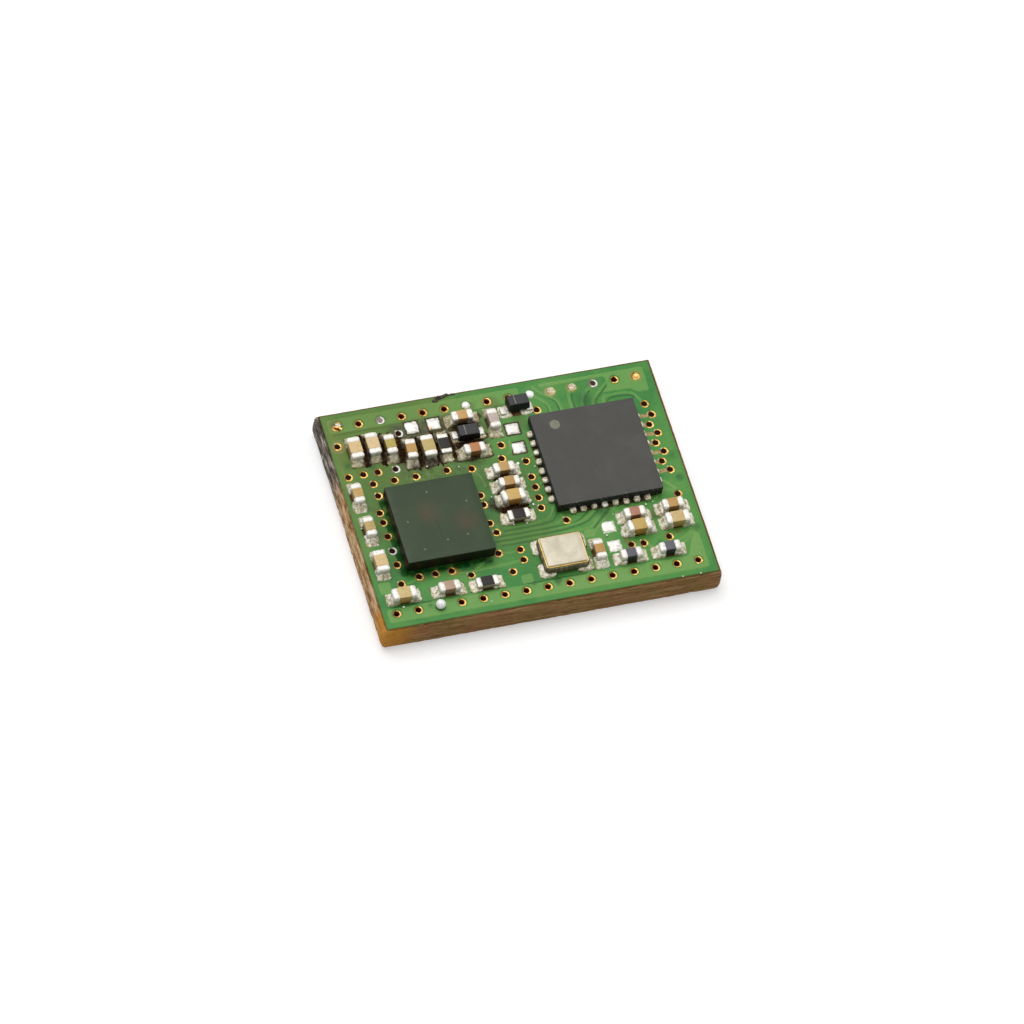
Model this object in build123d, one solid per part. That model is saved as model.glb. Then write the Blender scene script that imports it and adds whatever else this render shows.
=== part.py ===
from build123d import *
import os
from collections import namedtuple

# A distance sensor module: a green multi-layer board with a ball-mounted sensor, a leadless
# microcontroller, a lidded crystal and about thirty chips a millimetre long. Sizes are millimetres.
# The origin is the middle of the underside, +X runs along the long side and +Z is up.
# Places on the board are given on the contact grid, whose middle lies between the two rows of
# edge vias, and which sits a little off the middle of the cut board.

# Board
board_length = 15.8
board_width = 11.8
laminate_thick = 1.39
mask_thick = 0.03
copper_thick = 0.03
grid_offset_x = -0.065
mask_setback = 0.05
smallest_radius = 0.05

# The board's corners, each as its side of the board in x and y and the radius of its widest
# outline. The near left one is worn the roundest.
board_corners = ((-1, 1, 0.08), (1, 1, 0.10), (1, -1, 0.22), (-1, -1, 0.26))

# The cut edge bulges. Each step is a share of the laminate's depth below its top and how far
# the side stands in from the widest outline there.
edge_steps = ((0.0, 0.15), (0.06, 0.08), (0.28, 0.01), (0.70, 0.0), (0.90, 0.04), (1.0, 0.14))

# Vias. What repeats this often has flat sides, six to a ring.
via_sides = 6
via_bore = 0.24
via_ring = 0.42
via_fill_height = 0.07
blind_depth = 0.25

# Contacts: two edge rows of vias over the contact lands of the underside. Each row runs along a
# long side of the board, with as many contacts either side of its middle one as fit on the board.
contact_pitch = 1.0
contact_row_inset = 0.90
contact_end_gap = 0.70
contact_row_y = board_width / 2 - contact_row_inset
contacts_each_way = int((board_length / 2 - contact_end_gap) / contact_pitch)
contact_land_length = 0.90
contact_land_width = 0.60

# Chip footprint: two lands, and the solder joint on each
land_pitch = 1.02
land_length = 0.57
land_width = 0.60
solder_film = 0.03
solder_toe_height = 0.06
solder_wick = 0.30
resistor_wick = 0.19
termination_length = 0.25
termination_wall = 0.02

# Chip sizes
small_chip = (1.00, 0.50, 0.50)
wide_chip = (1.12, 0.60, 0.52)
resistor_size = (1.00, 0.50, 0.32)
resistor_coat_thick = 0.04
diode_body = (1.00, 0.62, 0.46)
diode_draft = 7
diode_lead = (0.24, 0.34, 0.14)

# Microcontroller
mcu_place = (3.92, 1.11)
mcu_side = 4.90
mcu_height = 0.55
mcu_standoff = 0.05
mcu_leads_per_side = 8
mcu_lead_pitch = 0.50
mcu_lead_length = 0.40
mcu_lead_width = 0.25
mcu_lead_thick = 0.20
mcu_pad_side = 3.10
mcu_toe = 0.18
mcu_toe_height = 0.05
mcu_wick = 0.14
mcu_edge_chamfer = 0.04

# Sensor package
sensor_place = (-3.99, -1.03)
sensor_side = 4.06
sensor_thick = 0.68
sensor_edge_chamfer = 0.03
ball_rows = 7
ball_pitch = 0.50
ball_diameter = 0.30
ball_height = 0.17

# Crystal
crystal_place = (1.05, -3.57)
crystal_length = 2.06
crystal_width = 1.70
crystal_base_height = 0.40
crystal_wall = 0.24
crystal_floor = 0.16
crystal_ring_height = 0.05
crystal_ring_width = 0.19
crystal_lid_inset = 0.06
crystal_lid_thick = 0.08
crystal_corner_radius = 0.10
crystal_castellation = 0.12
blank_size = (1.05, 0.70, 0.05)
blank_glue = (0.18, 0.20, 0.05)
crystal_pad = (0.75, 0.75)
crystal_pad_pitch = (1.75, 1.22)
crystal_terminal_thick = 0.02
crystal_toe_height = 0.05
crystal_wick = 0.22

# Heights of the stack
laminate_bottom = mask_thick
laminate_top = laminate_bottom + laminate_thick
board_top = laminate_top + mask_thick
chip_seat = board_top + solder_film

Chip = namedtuple("Chip", "x y turn size")

# Capacitors, in reading order from the board's far left corner
capacitors = (
    Chip(-6.60, 3.53, 90, wide_chip),
    Chip(-5.77, 3.60, 90, wide_chip),
    Chip(-5.00, 3.42, 90, small_chip),
    Chip(-4.15, 3.00, 87, small_chip),
    Chip(-3.35, 3.00, 90, wide_chip),
    Chip(-1.42, 4.27, 0, small_chip),
    Chip(-1.33, 2.48, 0, small_chip),
    Chip(-0.08, 3.83, 90, small_chip),
    Chip(-7.13, 1.20, 90, small_chip),
    Chip(-7.07, -0.60, 90, small_chip),
    Chip(-7.07, -2.45, 90, wide_chip),
    Chip(-0.33, 1.24, 0, small_chip),
    Chip(-0.30, 0.47, 0, small_chip),
    Chip(-0.32, -0.28, 0, wide_chip),
    Chip(-6.50, -4.27, 0, wide_chip),
    Chip(-4.43, -4.30, 0, small_chip),
    Chip(2.68, -3.79, 90, small_chip),
    Chip(4.78, -2.22, 0, small_chip),
    Chip(4.80, -2.93, 0, wide_chip),
    Chip(6.60, -2.12, 0, small_chip),
    Chip(6.60, -2.88, 0, wide_chip),
)
ferrites = (
    Chip(4.02, -4.28, 0, small_chip),
    Chip(5.82, -4.28, 0, small_chip),
)
resistors = (
    Chip(-0.32, -1.21, 0, resistor_size),
    Chip(-2.67, -4.33, 0, resistor_size),
    Chip(-2.58, 3.05, 90, resistor_size),
)
diodes = (
    Chip(-1.35, 3.46, 0, diode_body),
    Chip(1.18, 4.40, 8, diode_body),
)
# Footprints with no chip on them: their lands are bare and tinned
empty_footprints = (
    Chip(-3.20, 4.33, 0, small_chip),
    Chip(0.73, 2.85, 90, small_chip),
    Chip(3.52, -3.03, 90, small_chip),
)

# Vias inside the board, as places on the grid. The fan-out beside the microcontroller follows
# its leads; the rest follow the routing.
fanout_x = (7.13, 6.89)
fanout_count = 7
inner_vias = (
    (-7.25, 4.00), (-4.37, 4.14), (-7.20, 2.33), (-6.50, 2.35), (-5.83, 2.34), (-5.00, 2.34),
    (-6.20, 1.77), (-5.22, 1.78), (-4.22, 1.78), (-2.77, 1.82), (-1.65, 1.68), (-6.15, 1.12),
    (-6.32, 0.23), (-6.30, -0.28), (-6.30, -1.03), (-6.30, -1.80), (-6.30, -2.54),
    (-6.38, -3.55), (-5.50, -3.33), (-4.75, -3.33), (-4.00, -3.33), (-3.20, -3.70),
    (-1.70, -2.87), (-0.68, -2.87), (-0.68, -3.42), (-1.32, -3.93),
    (-1.65, 0.23), (-1.65, -0.27), (-1.65, -1.27), (-1.48, -1.79),
    (0.00, 2.63), (-0.17, 1.93), (0.87, 1.58), (0.88, 0.73), (0.90, 0.17), (0.88, -0.40),
    (0.85, -0.93), (1.78, -1.79), (2.10, 4.12), (6.98, 3.47), (7.10, -1.45),
    (4.28, -3.62), (4.85, -3.65), (6.07, -3.55),
)
# Edge vias of the far row and near row that solder has closed, counted from the row's middle one
filled_far_numbers = (-1, 2, 3, 4)
filled_near_numbers = (-5,)


def place(x, y, z, turn=0.0):
    """A location on the contact grid, with z measured from the underside."""
    return Location((grid_offset_x + x, y, z), (0, 0, turn))


def block(length, width, height, centre=(0, 0)):
    """A box standing on its local zero height, centred on a point."""
    standing = (Align.CENTER, Align.CENTER, Align.MIN)
    return Pos(centre[0], centre[1], 0) * Box(length, width, height, align=standing)


def ring_prism(outside, height, sides=via_sides):
    """A flat-sided round: the polygon's corners lie on the stated diameter."""
    return extrude(RegularPolygon(outside / 2, sides), height)


def contact_numbers():
    """The contacts of one row, counted from the middle one."""
    return range(-contacts_each_way, contacts_each_way + 1)


def lead_offsets():
    """Where the leads of one side of the microcontroller stand, from its middle."""
    first = -(mcu_leads_per_side - 1) / 2
    return [(first + i) * mcu_lead_pitch for i in range(mcu_leads_per_side)]


def fanout_vias():
    """The staggered column of vias beside the microcontroller, one for each of its leads."""
    ys = sorted(lead_offsets(), reverse=True)[:fanout_count]
    return [(fanout_x[i % 2], mcu_place[1] + y) for i, y in enumerate(ys)]


def row_vias():
    """The vias of the two edge rows, with whether solder has closed each."""
    far = [(n * contact_pitch, contact_row_y, n in filled_far_numbers) for n in contact_numbers()]
    near = [(n * contact_pitch, -contact_row_y, n in filled_near_numbers) for n in contact_numbers()]
    return far + near


def every_via():
    """Places of all vias on the top face."""
    return [(x, y) for x, y, filled in row_vias()] + list(inner_vias) + fanout_vias()


def chip_parts():
    """Every chip that stands on a two-land footprint."""
    return list(capacitors) + list(ferrites) + list(resistors) + list(diodes)


def lands_of(chips):
    """Locations of the two lands of each footprint, at the laminate's top."""
    lands = []
    for chip in chips:
        middle = place(chip.x, chip.y, laminate_top, chip.turn)
        lands += [middle * Pos(side * land_pitch / 2, 0, 0) for side in (-1, 1)]
    return lands


def crystal_lands():
    """Locations of the crystal's four lands, at the laminate's top."""
    middle = place(*crystal_place, laminate_top)
    return [
        middle * Pos(sx * crystal_pad_pitch[0] / 2, sy * crystal_pad_pitch[1] / 2, 0)
        for sx in (-1, 1)
        for sy in (-1, 1)
    ]


def board_outline(inset):
    """The board's outline, set in from the widest one."""
    half_x, half_y = board_length / 2 - inset, board_width / 2 - inset
    outline = Rectangle(2 * half_x, 2 * half_y)
    for side_x, side_y, radius in board_corners:
        corner = outline.vertices().sort_by_distance((side_x * half_x, side_y * half_y, 0))[0]
        outline = fillet(corner, max(radius - inset, smallest_radius))
    return outline


def make_laminate():
    sections = []
    for share, inset in edge_steps:
        sections.append(Pos(0, 0, laminate_top - share * laminate_thick) * board_outline(inset))
    laminate = loft(sections, ruled=True)
    bores = [place(x, y, 0) * ring_prism(via_ring, board_top) for x, y, filled in row_vias()]
    return laminate - bores


def make_mask_top():
    plate = Pos(0, 0, laminate_top) * extrude(board_outline(edge_steps[0][1] + mask_setback), mask_thick)
    windows = [place(x, y, laminate_top) * ring_prism(via_ring, mask_thick) for x, y in every_via()]
    windows += [land * block(land_length, land_width, mask_thick) for land in lands_of(empty_footprints)]
    chip_window = block(land_pitch + land_length, land_width, mask_thick)
    windows += [place(chip.x, chip.y, laminate_top, chip.turn) * chip_window for chip in chip_parts()]
    windows += [land * block(*crystal_pad, mask_thick) for land in crystal_lands()]
    windows += mcu_windows()
    return plate - windows


def mcu_windows():
    """One long window in the mask for each row of leads."""
    run = 2 * max(lead_offsets()) + mcu_lead_width
    depth = mcu_lead_length + mcu_toe
    reach = mcu_side / 2 + mcu_toe - depth / 2
    middle = place(*mcu_place, laminate_top)
    return [
        middle * Rot(0, 0, 90 * side) * Pos(reach, 0, 0) * block(depth, run, mask_thick)
        for side in range(4)
    ]


def make_mask_bottom():
    """The lower mask, open in one long window along each row of contact lands."""
    plate = extrude(board_outline(edge_steps[-1][1] + mask_setback), mask_thick)
    run = 2 * contacts_each_way * contact_pitch + contact_land_width
    window = block(run, contact_land_length, mask_thick)
    return plate - [place(0, side * contact_row_y, 0) * window for side in (-1, 1)]


def contact_spots():
    """Locations of the underside's contact lands."""
    return [
        place(n * contact_pitch, side * contact_row_y, 0) for side in (-1, 1) for n in contact_numbers()
    ]


def make_contact_lands():
    return [spot * block(contact_land_width, contact_land_length, mask_thick) for spot in contact_spots()]


def via_tube(x, y, bottom):
    """A plated via: a tube from its bottom up to the mask's face."""
    height = board_top - bottom
    return place(x, y, bottom) * (ring_prism(via_ring, height) - ring_prism(via_bore, height))


def make_edge_vias():
    return [via_tube(x, y, laminate_bottom) for x, y, filled in row_vias()]


def make_inner_vias():
    return [via_tube(x, y, laminate_top) for x, y in list(inner_vias) + fanout_vias()]


def make_via_solder():
    """Solder that fills a via's mouth and stands a little above it."""
    fills = []
    for x, y, filled in row_vias():
        if filled:
            height = blind_depth + via_fill_height
            fills.append(place(x, y, board_top - blind_depth) * ring_prism(via_bore, height))
    return fills


def make_bare_lands():
    """The copper lands of the footprints that carry no chip."""
    return [land * block(land_length, land_width, copper_thick) for land in lands_of(empty_footprints)]


def make_bare_land_solder():
    """Low pillows of solder on the lands that carry no chip."""
    pillow = Pos(0, 0, copper_thick) * extrude(Rectangle(land_length, land_width), solder_toe_height, taper=45)
    return [land * pillow for land in lands_of(empty_footprints)]


def chip_frame(chip):
    """A chip's own location, on its solder film."""
    return place(chip.x, chip.y, chip_seat, chip.turn)


def make_chip_body(chip):
    """The ceramic body, which stands in from its terminations on every side."""
    length, width, height = chip.size
    core = block(
        length - 2 * termination_wall, width - 2 * termination_wall, height - 2 * termination_wall
    )
    return chip_frame(chip) * Pos(0, 0, termination_wall) * core


def make_terminations(chip):
    """Two metal caps, open towards the middle, that the body seats in."""
    length, width, height = chip.size
    body = make_chip_body(chip)
    caps = []
    for side in (-1, 1):
        cap = block(termination_length, width, height, (side * (length - termination_length) / 2, 0))
        caps.append(chip_frame(chip) * cap - body)
    return caps


def joint(inner, end, outer, toe_height, wick_height, film, width):
    """A solder joint from under a termination out to the land's edge, along X and up from zero.

    It stands on the laminate in its window of the mask, carries the termination on a film and
    climbs its end.
    """
    outline = Polyline(
        (inner, 0),
        (outer, 0),
        (outer, toe_height),
        (end, wick_height),
        (end, film),
        (inner, film),
        close=True,
    )
    return extrude(Plane.XZ * make_face(outline), width / 2, both=True)


def make_chip_solder(chip, wick):
    """The two joints of a chip, each as wide as its land, climbing the terminations by wick."""
    inner = land_pitch / 2 - land_length / 2
    outer = land_pitch / 2 + land_length / 2
    film = mask_thick + solder_film
    toe_height = mask_thick + solder_toe_height
    shape = joint(inner, chip.size[0] / 2, outer, toe_height, film + wick, film, land_width)
    middle = place(chip.x, chip.y, laminate_top, chip.turn)
    return [middle * Rot(0, 0, turn) * shape for turn in (0, 180)]


def make_diode_solder():
    """Flat joints under the diodes' leads, each the size of its land."""
    film = block(land_length, land_width, mask_thick + solder_film)
    return [land * film for land in lands_of(diodes)]


def make_resistor_coat(chip):
    """The dark coat on a resistor's top, between its terminations."""
    length, width, height = chip.size
    run = length - 2 * termination_length
    top = height - termination_wall
    coat = block(run, width - 2 * termination_wall, resistor_coat_thick)
    return chip_frame(chip) * Pos(0, 0, top) * coat


def make_diode_body(chip):
    """A moulded body, its upper half drawn in for the mould."""
    length, width, height = chip.size
    lead_top = diode_lead[2]
    lower = block(length, width, lead_top)
    upper = Pos(0, 0, lead_top) * extrude(Rectangle(length, width), height - lead_top, taper=diode_draft)
    return chip_frame(chip) * (lower + upper)


def make_diode_leads(chip):
    """Two flat leads that leave the body's ends along the board."""
    length, width, height = chip.size
    lead_length, lead_width, lead_thick = diode_lead
    reach = (length + lead_length) / 2
    return [
        chip_frame(chip) * block(lead_length, lead_width, lead_thick, (side * reach, 0)) for side in (-1, 1)
    ]


def mcu_seat():
    return place(*mcu_place, board_top + mcu_standoff)


def lead_frames():
    """Each lead's own location: X points out of the package, the origin is at its outer end."""
    frames = []
    for side in range(4):
        for offset in lead_offsets():
            frames.append(mcu_seat() * Rot(0, 0, 90 * side) * Pos(mcu_side / 2, offset, 0))
    return frames


def make_mcu_leads():
    lead = block(mcu_lead_length, mcu_lead_width, mcu_lead_thick, (-mcu_lead_length / 2, 0))
    return [frame * lead for frame in lead_frames()]


def make_mcu_pad():
    return mcu_seat() * block(mcu_pad_side, mcu_pad_side, mcu_lead_thick)


def make_mcu_body():
    """The moulded body, with a bevelled top edge, cast round the leads and the thermal pad."""
    body = block(mcu_side, mcu_side, mcu_height)
    top_edges = body.faces().sort_by(Axis.Z)[-1].edges()
    body = mcu_seat() * chamfer(top_edges, mcu_edge_chamfer)
    return body - make_mcu_leads() - make_mcu_pad()


def make_mcu_solder():
    """A joint under and outside each lead, and the sheet of solder under the thermal pad."""
    film = mask_thick + mcu_standoff
    shape = joint(
        -mcu_lead_length, 0, mcu_toe, mcu_toe_height, film + mcu_wick, film, mcu_lead_width
    )
    joints = [frame * Pos(0, 0, -film) * shape for frame in lead_frames()]
    sheet = mcu_seat() * Pos(0, 0, -mcu_standoff) * block(mcu_pad_side, mcu_pad_side, mcu_standoff)
    return joints + [sheet]


def make_sensor_body():
    body = block(sensor_side, sensor_side, sensor_thick)
    top_edges = body.faces().sort_by(Axis.Z)[-1].edges()
    return place(*sensor_place, board_top + ball_height) * chamfer(top_edges, sensor_edge_chamfer)


def make_sensor_balls():
    """A square ring of balls under the sensor."""
    last = ball_rows - 1
    first = -last / 2
    balls = []
    for i in range(ball_rows):
        for j in range(ball_rows):
            if i in (0, last) or j in (0, last):
                spot = place(
                    sensor_place[0] + (first + i) * ball_pitch,
                    sensor_place[1] + (first + j) * ball_pitch,
                    board_top,
                )
                balls.append(spot * ring_prism(ball_diameter, ball_height))
    return balls


def crystal_seat():
    return place(*crystal_place, board_top + solder_film)


def make_crystal_terminals():
    """Metal pads on the underside of the crystal's base."""
    sx, sy = crystal_pad_pitch
    reach_x = crystal_length / 2 - crystal_castellation
    reach_y = crystal_width / 2 - crystal_castellation
    inner_x = sx / 2 - crystal_pad[0] / 2
    inner_y = sy / 2 - crystal_pad[1] / 2
    size = (reach_x - inner_x, reach_y - inner_y)
    middle = ((reach_x + inner_x) / 2, (reach_y + inner_y) / 2)
    return [
        crystal_seat() * block(*size, crystal_terminal_thick, (kx * middle[0], ky * middle[1]))
        for kx in (-1, 1)
        for ky in (-1, 1)
    ]


def make_crystal_base():
    """The ceramic tray, with a cavity for the blank and a hollow cut down each corner."""
    tray = block(crystal_length, crystal_width, crystal_base_height)
    inside = (crystal_length - 2 * crystal_wall, crystal_width - 2 * crystal_wall)
    cavity = Pos(0, 0, crystal_floor) * block(*inside, crystal_base_height)
    corners = [
        Pos(kx * crystal_length / 2, ky * crystal_width / 2, crystal_base_height / 2)
        * Cylinder(crystal_castellation, crystal_base_height)
        for kx in (-1, 1)
        for ky in (-1, 1)
    ]
    return crystal_seat() * Pos(0, 0, crystal_terminal_thick) * (tray - cavity - corners)


def crystal_rim():
    """Where the seal ring stands on the tray."""
    return crystal_seat() * Pos(0, 0, crystal_terminal_thick + crystal_base_height)


def make_crystal_seal_ring():
    inset = crystal_castellation / 2
    outline = (crystal_length - 2 * inset, crystal_width - 2 * inset)
    inner = (outline[0] - 2 * crystal_ring_width, outline[1] - 2 * crystal_ring_width)
    ring = RectangleRounded(*outline, crystal_corner_radius) - Rectangle(*inner)
    return crystal_rim() * extrude(ring, crystal_ring_height)


def make_crystal_lid():
    inset = crystal_castellation / 2 + crystal_lid_inset
    outline = RectangleRounded(crystal_length - 2 * inset, crystal_width - 2 * inset, crystal_corner_radius)
    return crystal_rim() * Pos(0, 0, crystal_ring_height) * extrude(outline, crystal_lid_thick)


def blank_end():
    """How far the blank's glued end lies from the crystal's middle."""
    return -(crystal_length / 2 - crystal_wall) + blank_glue[0] / 2


def make_crystal_glue():
    """Two dots of glue that hold the blank at one end."""
    spread = blank_size[1] / 2 - blank_glue[1] / 2
    floor = crystal_seat() * Pos(0, 0, crystal_terminal_thick + crystal_floor)
    return [floor * block(*blank_glue, (blank_end(), k * spread)) for k in (-1, 1)]


def make_crystal_blank():
    """The thin quartz plate, free at its far end."""
    start = blank_end() - blank_glue[0] / 2
    lift = crystal_terminal_thick + crystal_floor + blank_glue[2]
    return crystal_seat() * Pos(0, 0, lift) * block(*blank_size, (start + blank_size[0] / 2, 0))


def make_crystal_solder():
    """A joint on each land, under the base and a little beyond its ends."""
    inner = crystal_pad_pitch[0] / 2 - crystal_pad[0] / 2
    outer = crystal_pad_pitch[0] / 2 + crystal_pad[0] / 2
    end = crystal_length / 2
    film = mask_thick + solder_film
    shape = joint(inner, end, outer, mask_thick + crystal_toe_height, film + crystal_wick, film, crystal_pad[1])
    middle = place(*crystal_place, laminate_top)
    return [
        middle * Rot(0, 0, turn) * Pos(0, ky * crystal_pad_pitch[1] / 2, 0) * shape
        for turn in (0, 180)
        for ky in (-1, 1)
    ]


def write(name, shapes):
    """Writes one node, from one solid or a group of separate solids."""
    shapes = shapes if isinstance(shapes, list) else [shapes]
    solids = [solid for shape in shapes for solid in shape.solids()]
    node = Compound(label=name, children=solids) if len(solids) > 1 else solids[0]
    export_step(node, f"parts/{name}.step")


def flat(groups):
    """One list from a list of lists."""
    return [item for group in groups for item in group]


def write_board():
    write("board_laminate", make_laminate())
    write("solder_mask_top", make_mask_top())
    write("solder_mask_bottom", make_mask_bottom())
    write("edge_via_plating", make_edge_vias())
    write("inner_via_plating", make_inner_vias())
    write("via_solder", make_via_solder())
    write("bare_lands", make_bare_lands())
    write("contact_lands", make_contact_lands())
    write("bare_land_solder", make_bare_land_solder())


def write_packages():
    write("mcu_body", make_mcu_body())
    write("mcu_leads", make_mcu_leads())
    write("mcu_thermal_pad", make_mcu_pad())
    write("mcu_solder", make_mcu_solder())
    write("sensor_body", make_sensor_body())
    write("sensor_balls", make_sensor_balls())
    write("crystal_base", make_crystal_base())
    write("crystal_terminals", make_crystal_terminals())
    write("crystal_seal_ring", make_crystal_seal_ring())
    write("crystal_lid", make_crystal_lid())
    write("crystal_blank", make_crystal_blank())
    write("crystal_glue", make_crystal_glue())
    write("crystal_solder", make_crystal_solder())


def write_chips():
    for number, chip in enumerate(capacitors, 1):
        write(f"capacitor_{number:02d}", make_chip_body(chip))
    for number, chip in enumerate(ferrites, 1):
        write(f"ferrite_bead_{number}", make_chip_body(chip))
    for number, chip in enumerate(resistors, 1):
        write(f"resistor_{number}_substrate", make_chip_body(chip))
        write(f"resistor_{number}_coat", make_resistor_coat(chip))
    for number, chip in enumerate(diodes, 1):
        write(f"diode_{number}_body", make_diode_body(chip))
    tall = list(capacitors) + list(ferrites)
    write("capacitor_terminations", flat(make_terminations(chip) for chip in tall))
    write("capacitor_solder", flat(make_chip_solder(chip, solder_wick) for chip in tall))
    write("resistor_terminations", flat(make_terminations(chip) for chip in resistors))
    write("resistor_solder", flat(make_chip_solder(chip, resistor_wick) for chip in resistors))
    write("diode_leads", flat(make_diode_leads(chip) for chip in diodes))
    write("diode_solder", make_diode_solder())


os.makedirs("parts", exist_ok=True)
write_board()
write_packages()
write_chips()
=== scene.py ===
import math
import random

import bmesh
import bpy
from mathutils import Euler, Matrix, Vector, noise
from mathutils.geometry import delaunay_2d_cdt


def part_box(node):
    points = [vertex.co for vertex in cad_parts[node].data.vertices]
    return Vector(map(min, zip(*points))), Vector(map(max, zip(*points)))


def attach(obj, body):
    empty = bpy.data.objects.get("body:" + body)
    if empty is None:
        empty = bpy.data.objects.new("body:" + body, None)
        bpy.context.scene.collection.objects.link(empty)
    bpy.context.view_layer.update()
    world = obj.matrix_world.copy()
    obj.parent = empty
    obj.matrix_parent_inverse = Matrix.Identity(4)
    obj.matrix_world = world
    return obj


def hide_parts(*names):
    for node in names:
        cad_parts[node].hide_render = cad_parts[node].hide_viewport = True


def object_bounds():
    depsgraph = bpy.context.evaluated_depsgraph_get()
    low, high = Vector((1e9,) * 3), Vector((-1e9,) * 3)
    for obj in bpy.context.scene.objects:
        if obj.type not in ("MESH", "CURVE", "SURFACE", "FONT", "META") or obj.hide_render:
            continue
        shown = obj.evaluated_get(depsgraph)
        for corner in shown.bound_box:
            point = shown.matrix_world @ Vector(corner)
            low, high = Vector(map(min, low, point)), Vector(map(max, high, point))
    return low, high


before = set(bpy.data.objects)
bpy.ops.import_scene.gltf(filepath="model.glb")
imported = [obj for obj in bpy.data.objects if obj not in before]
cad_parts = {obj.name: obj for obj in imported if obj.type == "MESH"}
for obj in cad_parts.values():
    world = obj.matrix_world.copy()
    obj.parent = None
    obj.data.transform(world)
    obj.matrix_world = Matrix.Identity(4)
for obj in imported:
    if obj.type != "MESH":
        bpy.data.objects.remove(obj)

# Looks of the distance sensor module. Lengths here are millimetres, turned to metres when a mesh is
# made. Places on the board are given on the contact grid, as in the part's source. A colour in
# round brackets is written as on a screen, red, green and blue from 0 to 255; a list is linear light.
MM = 0.001
CAD_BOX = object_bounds()
CAD_LOW, CAD_HIGH = CAD_BOX[0] / MM, CAD_BOX[1] / MM

GRID_X = -0.065
LAMINATE_BOTTOM = 0.03
LAMINATE_TOP = 1.42
BOARD_TOP = 1.45

CONTACT_NUMBERS = range(-7, 8)
CONTACT_ROW_Y = 5.0
RING_RADIUS = 0.206
BORE_RADIUS = 0.130
WINDOW_RADIUS = 0.200

# Radii of the widest outline at the near right, far right, far left and near left corner
BOARD_CORNERS = (0.22, 0.10, 0.08, 0.26)
SMALLEST_RADIUS = 0.05
MASK_INSET = 0.20
# How far the cut edge stands in, by its share of the depth below the laminate's top
EDGE_STEPS = ((0.0, 0.15), (0.06, 0.08), (0.28, 0.01), (0.70, 0.0), (0.90, 0.04), (1.0, 0.14))

LAND_PITCH = 1.02
LAND_LENGTH = 0.57
LAND_WIDTH = 0.60
TERMINATION = 0.25
END_LENGTH = 0.31
CHIP_SEAT = BOARD_TOP + 0.03
# Height at which the joints start, a little below the mask's top
JOINT_BASE = BOARD_TOP - 0.012


def colour(red, green, blue):
    """A screen colour as linear light."""

    def linear(value):
        share = value / 255
        return share / 12.92 if share <= 0.04045 else ((share + 0.055) / 1.055) ** 2.4

    return [linear(red), linear(green), linear(blue), 1.0]


def scaled(shade, share):
    """A colour with its light scaled."""
    return [c * share for c in colour(*shade)[:3]] + [1.0]


def at(x, y, z=0.0):
    return Vector((x, y, z))


def on_grid(x, y, z=0.0):
    """A point of the contact grid in the row frame."""
    return at(x + GRID_X, y, z)


def polar(radius, angle):
    return at(radius * math.cos(angle), radius * math.sin(angle))


def turned(x, y, degrees):
    """A point turned about the origin."""
    return Matrix.Rotation(math.radians(degrees), 3, "Z") @ at(x, y)


def moved(x, y=0.0, z=0.0):
    return Matrix.Translation(at(x, y, z))


def bumps(x, y, scale, seed):
    return noise.noise(at(x * scale, y * scale, seed))


def rough(height, swing, scale, seed):
    """A height that varies a little from place to place."""
    return lambda x, y: height + swing * bumps(x, y, scale, seed)


# Meshes


class Shape:
    """Points and faces that become one piece."""

    def __init__(self):
        self.points = []
        self.faces = []
        self.indices = []

    def add(self, form, where=None, index=0):
        """Adds points and faces where they stand. Index is their material, or one for each face."""
        points, faces = form
        start = len(self.points)
        self.points += [where @ p if where else p for p in points]
        self.faces += [[start + i for i in face] for face in faces]
        self.indices += index if isinstance(index, list) else [index] * len(faces)


def make_piece(name, shape, materials, nodes=(), crease=80):
    """Makes the object, lets it ride on the board and stand for the CAD nodes it replaces."""
    mesh = bpy.data.meshes.new(name)
    mesh.from_pydata([p * MM for p in shape.points], [], shape.faces)
    mesh.polygons.foreach_set("material_index", shape.indices)
    mesh.polygons.foreach_set("use_smooth", [True] * len(shape.faces))
    mesh.update()
    mesh.set_sharp_from_angle(angle=math.radians(crease))
    for material in materials:
        mesh.materials.append(material)
    piece = bpy.data.objects.new(name, mesh)
    bpy.context.scene.collection.objects.link(piece)
    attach(piece, "root")
    if nodes:
        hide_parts(*nodes)


def quads(rows, count, closed=False, flip=False):
    """Faces between rows of points."""
    faces = []
    for row in range(rows - 1):
        for i in range(count if closed else count - 1):
            a, b = row * count + i, row * count + (i + 1) % count
            face = [a, a + count, b + count, b]
            faces.append(face[::-1] if flip else face)
    return faces


def rounded_loop(length, width, radii, cuts, corner_steps=6):
    """Points round a rectangle, each with its outward direction, counter-clockwise from the near
    right corner. Cuts are the steps along a side in x and in y."""
    corners = ((1, -1, -90), (1, 1, 0), (-1, 1, 90), (-1, -1, 180))
    centres = [
        at(side_x * (length / 2 - radius), side_y * (width / 2 - radius))
        for (side_x, side_y, start), radius in zip(corners, radii)
    ]
    loop = []
    for i, (side_x, side_y, start) in enumerate(corners):
        for step in range(corner_steps + 1):
            out = polar(1, math.radians(start + 90 * step / corner_steps))
            loop.append((centres[i] + out * radii[i], out))
        end, out = loop[-1]
        following = (i + 1) % 4
        first = centres[following] + out * radii[following]
        count = cuts[1] if i % 2 == 0 else cuts[0]
        loop += [(end.lerp(first, step / count), out) for step in range(1, count)]
    return loop


def board_loop(inset, cuts=(1, 1)):
    """The board's outline, set in from the widest one."""
    size = CAD_HIGH - CAD_LOW
    radii = [max(radius - inset, SMALLEST_RADIUS) for radius in BOARD_CORNERS]
    return rounded_loop(size.x - 2 * inset, size.y - 2 * inset, radii, cuts)


def circle(x, y, radius, sides=20):
    """A round loop of points on the contact grid."""
    return [on_grid(x, y) + polar(radius, math.tau * i / sides) for i in range(sides)]


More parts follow.
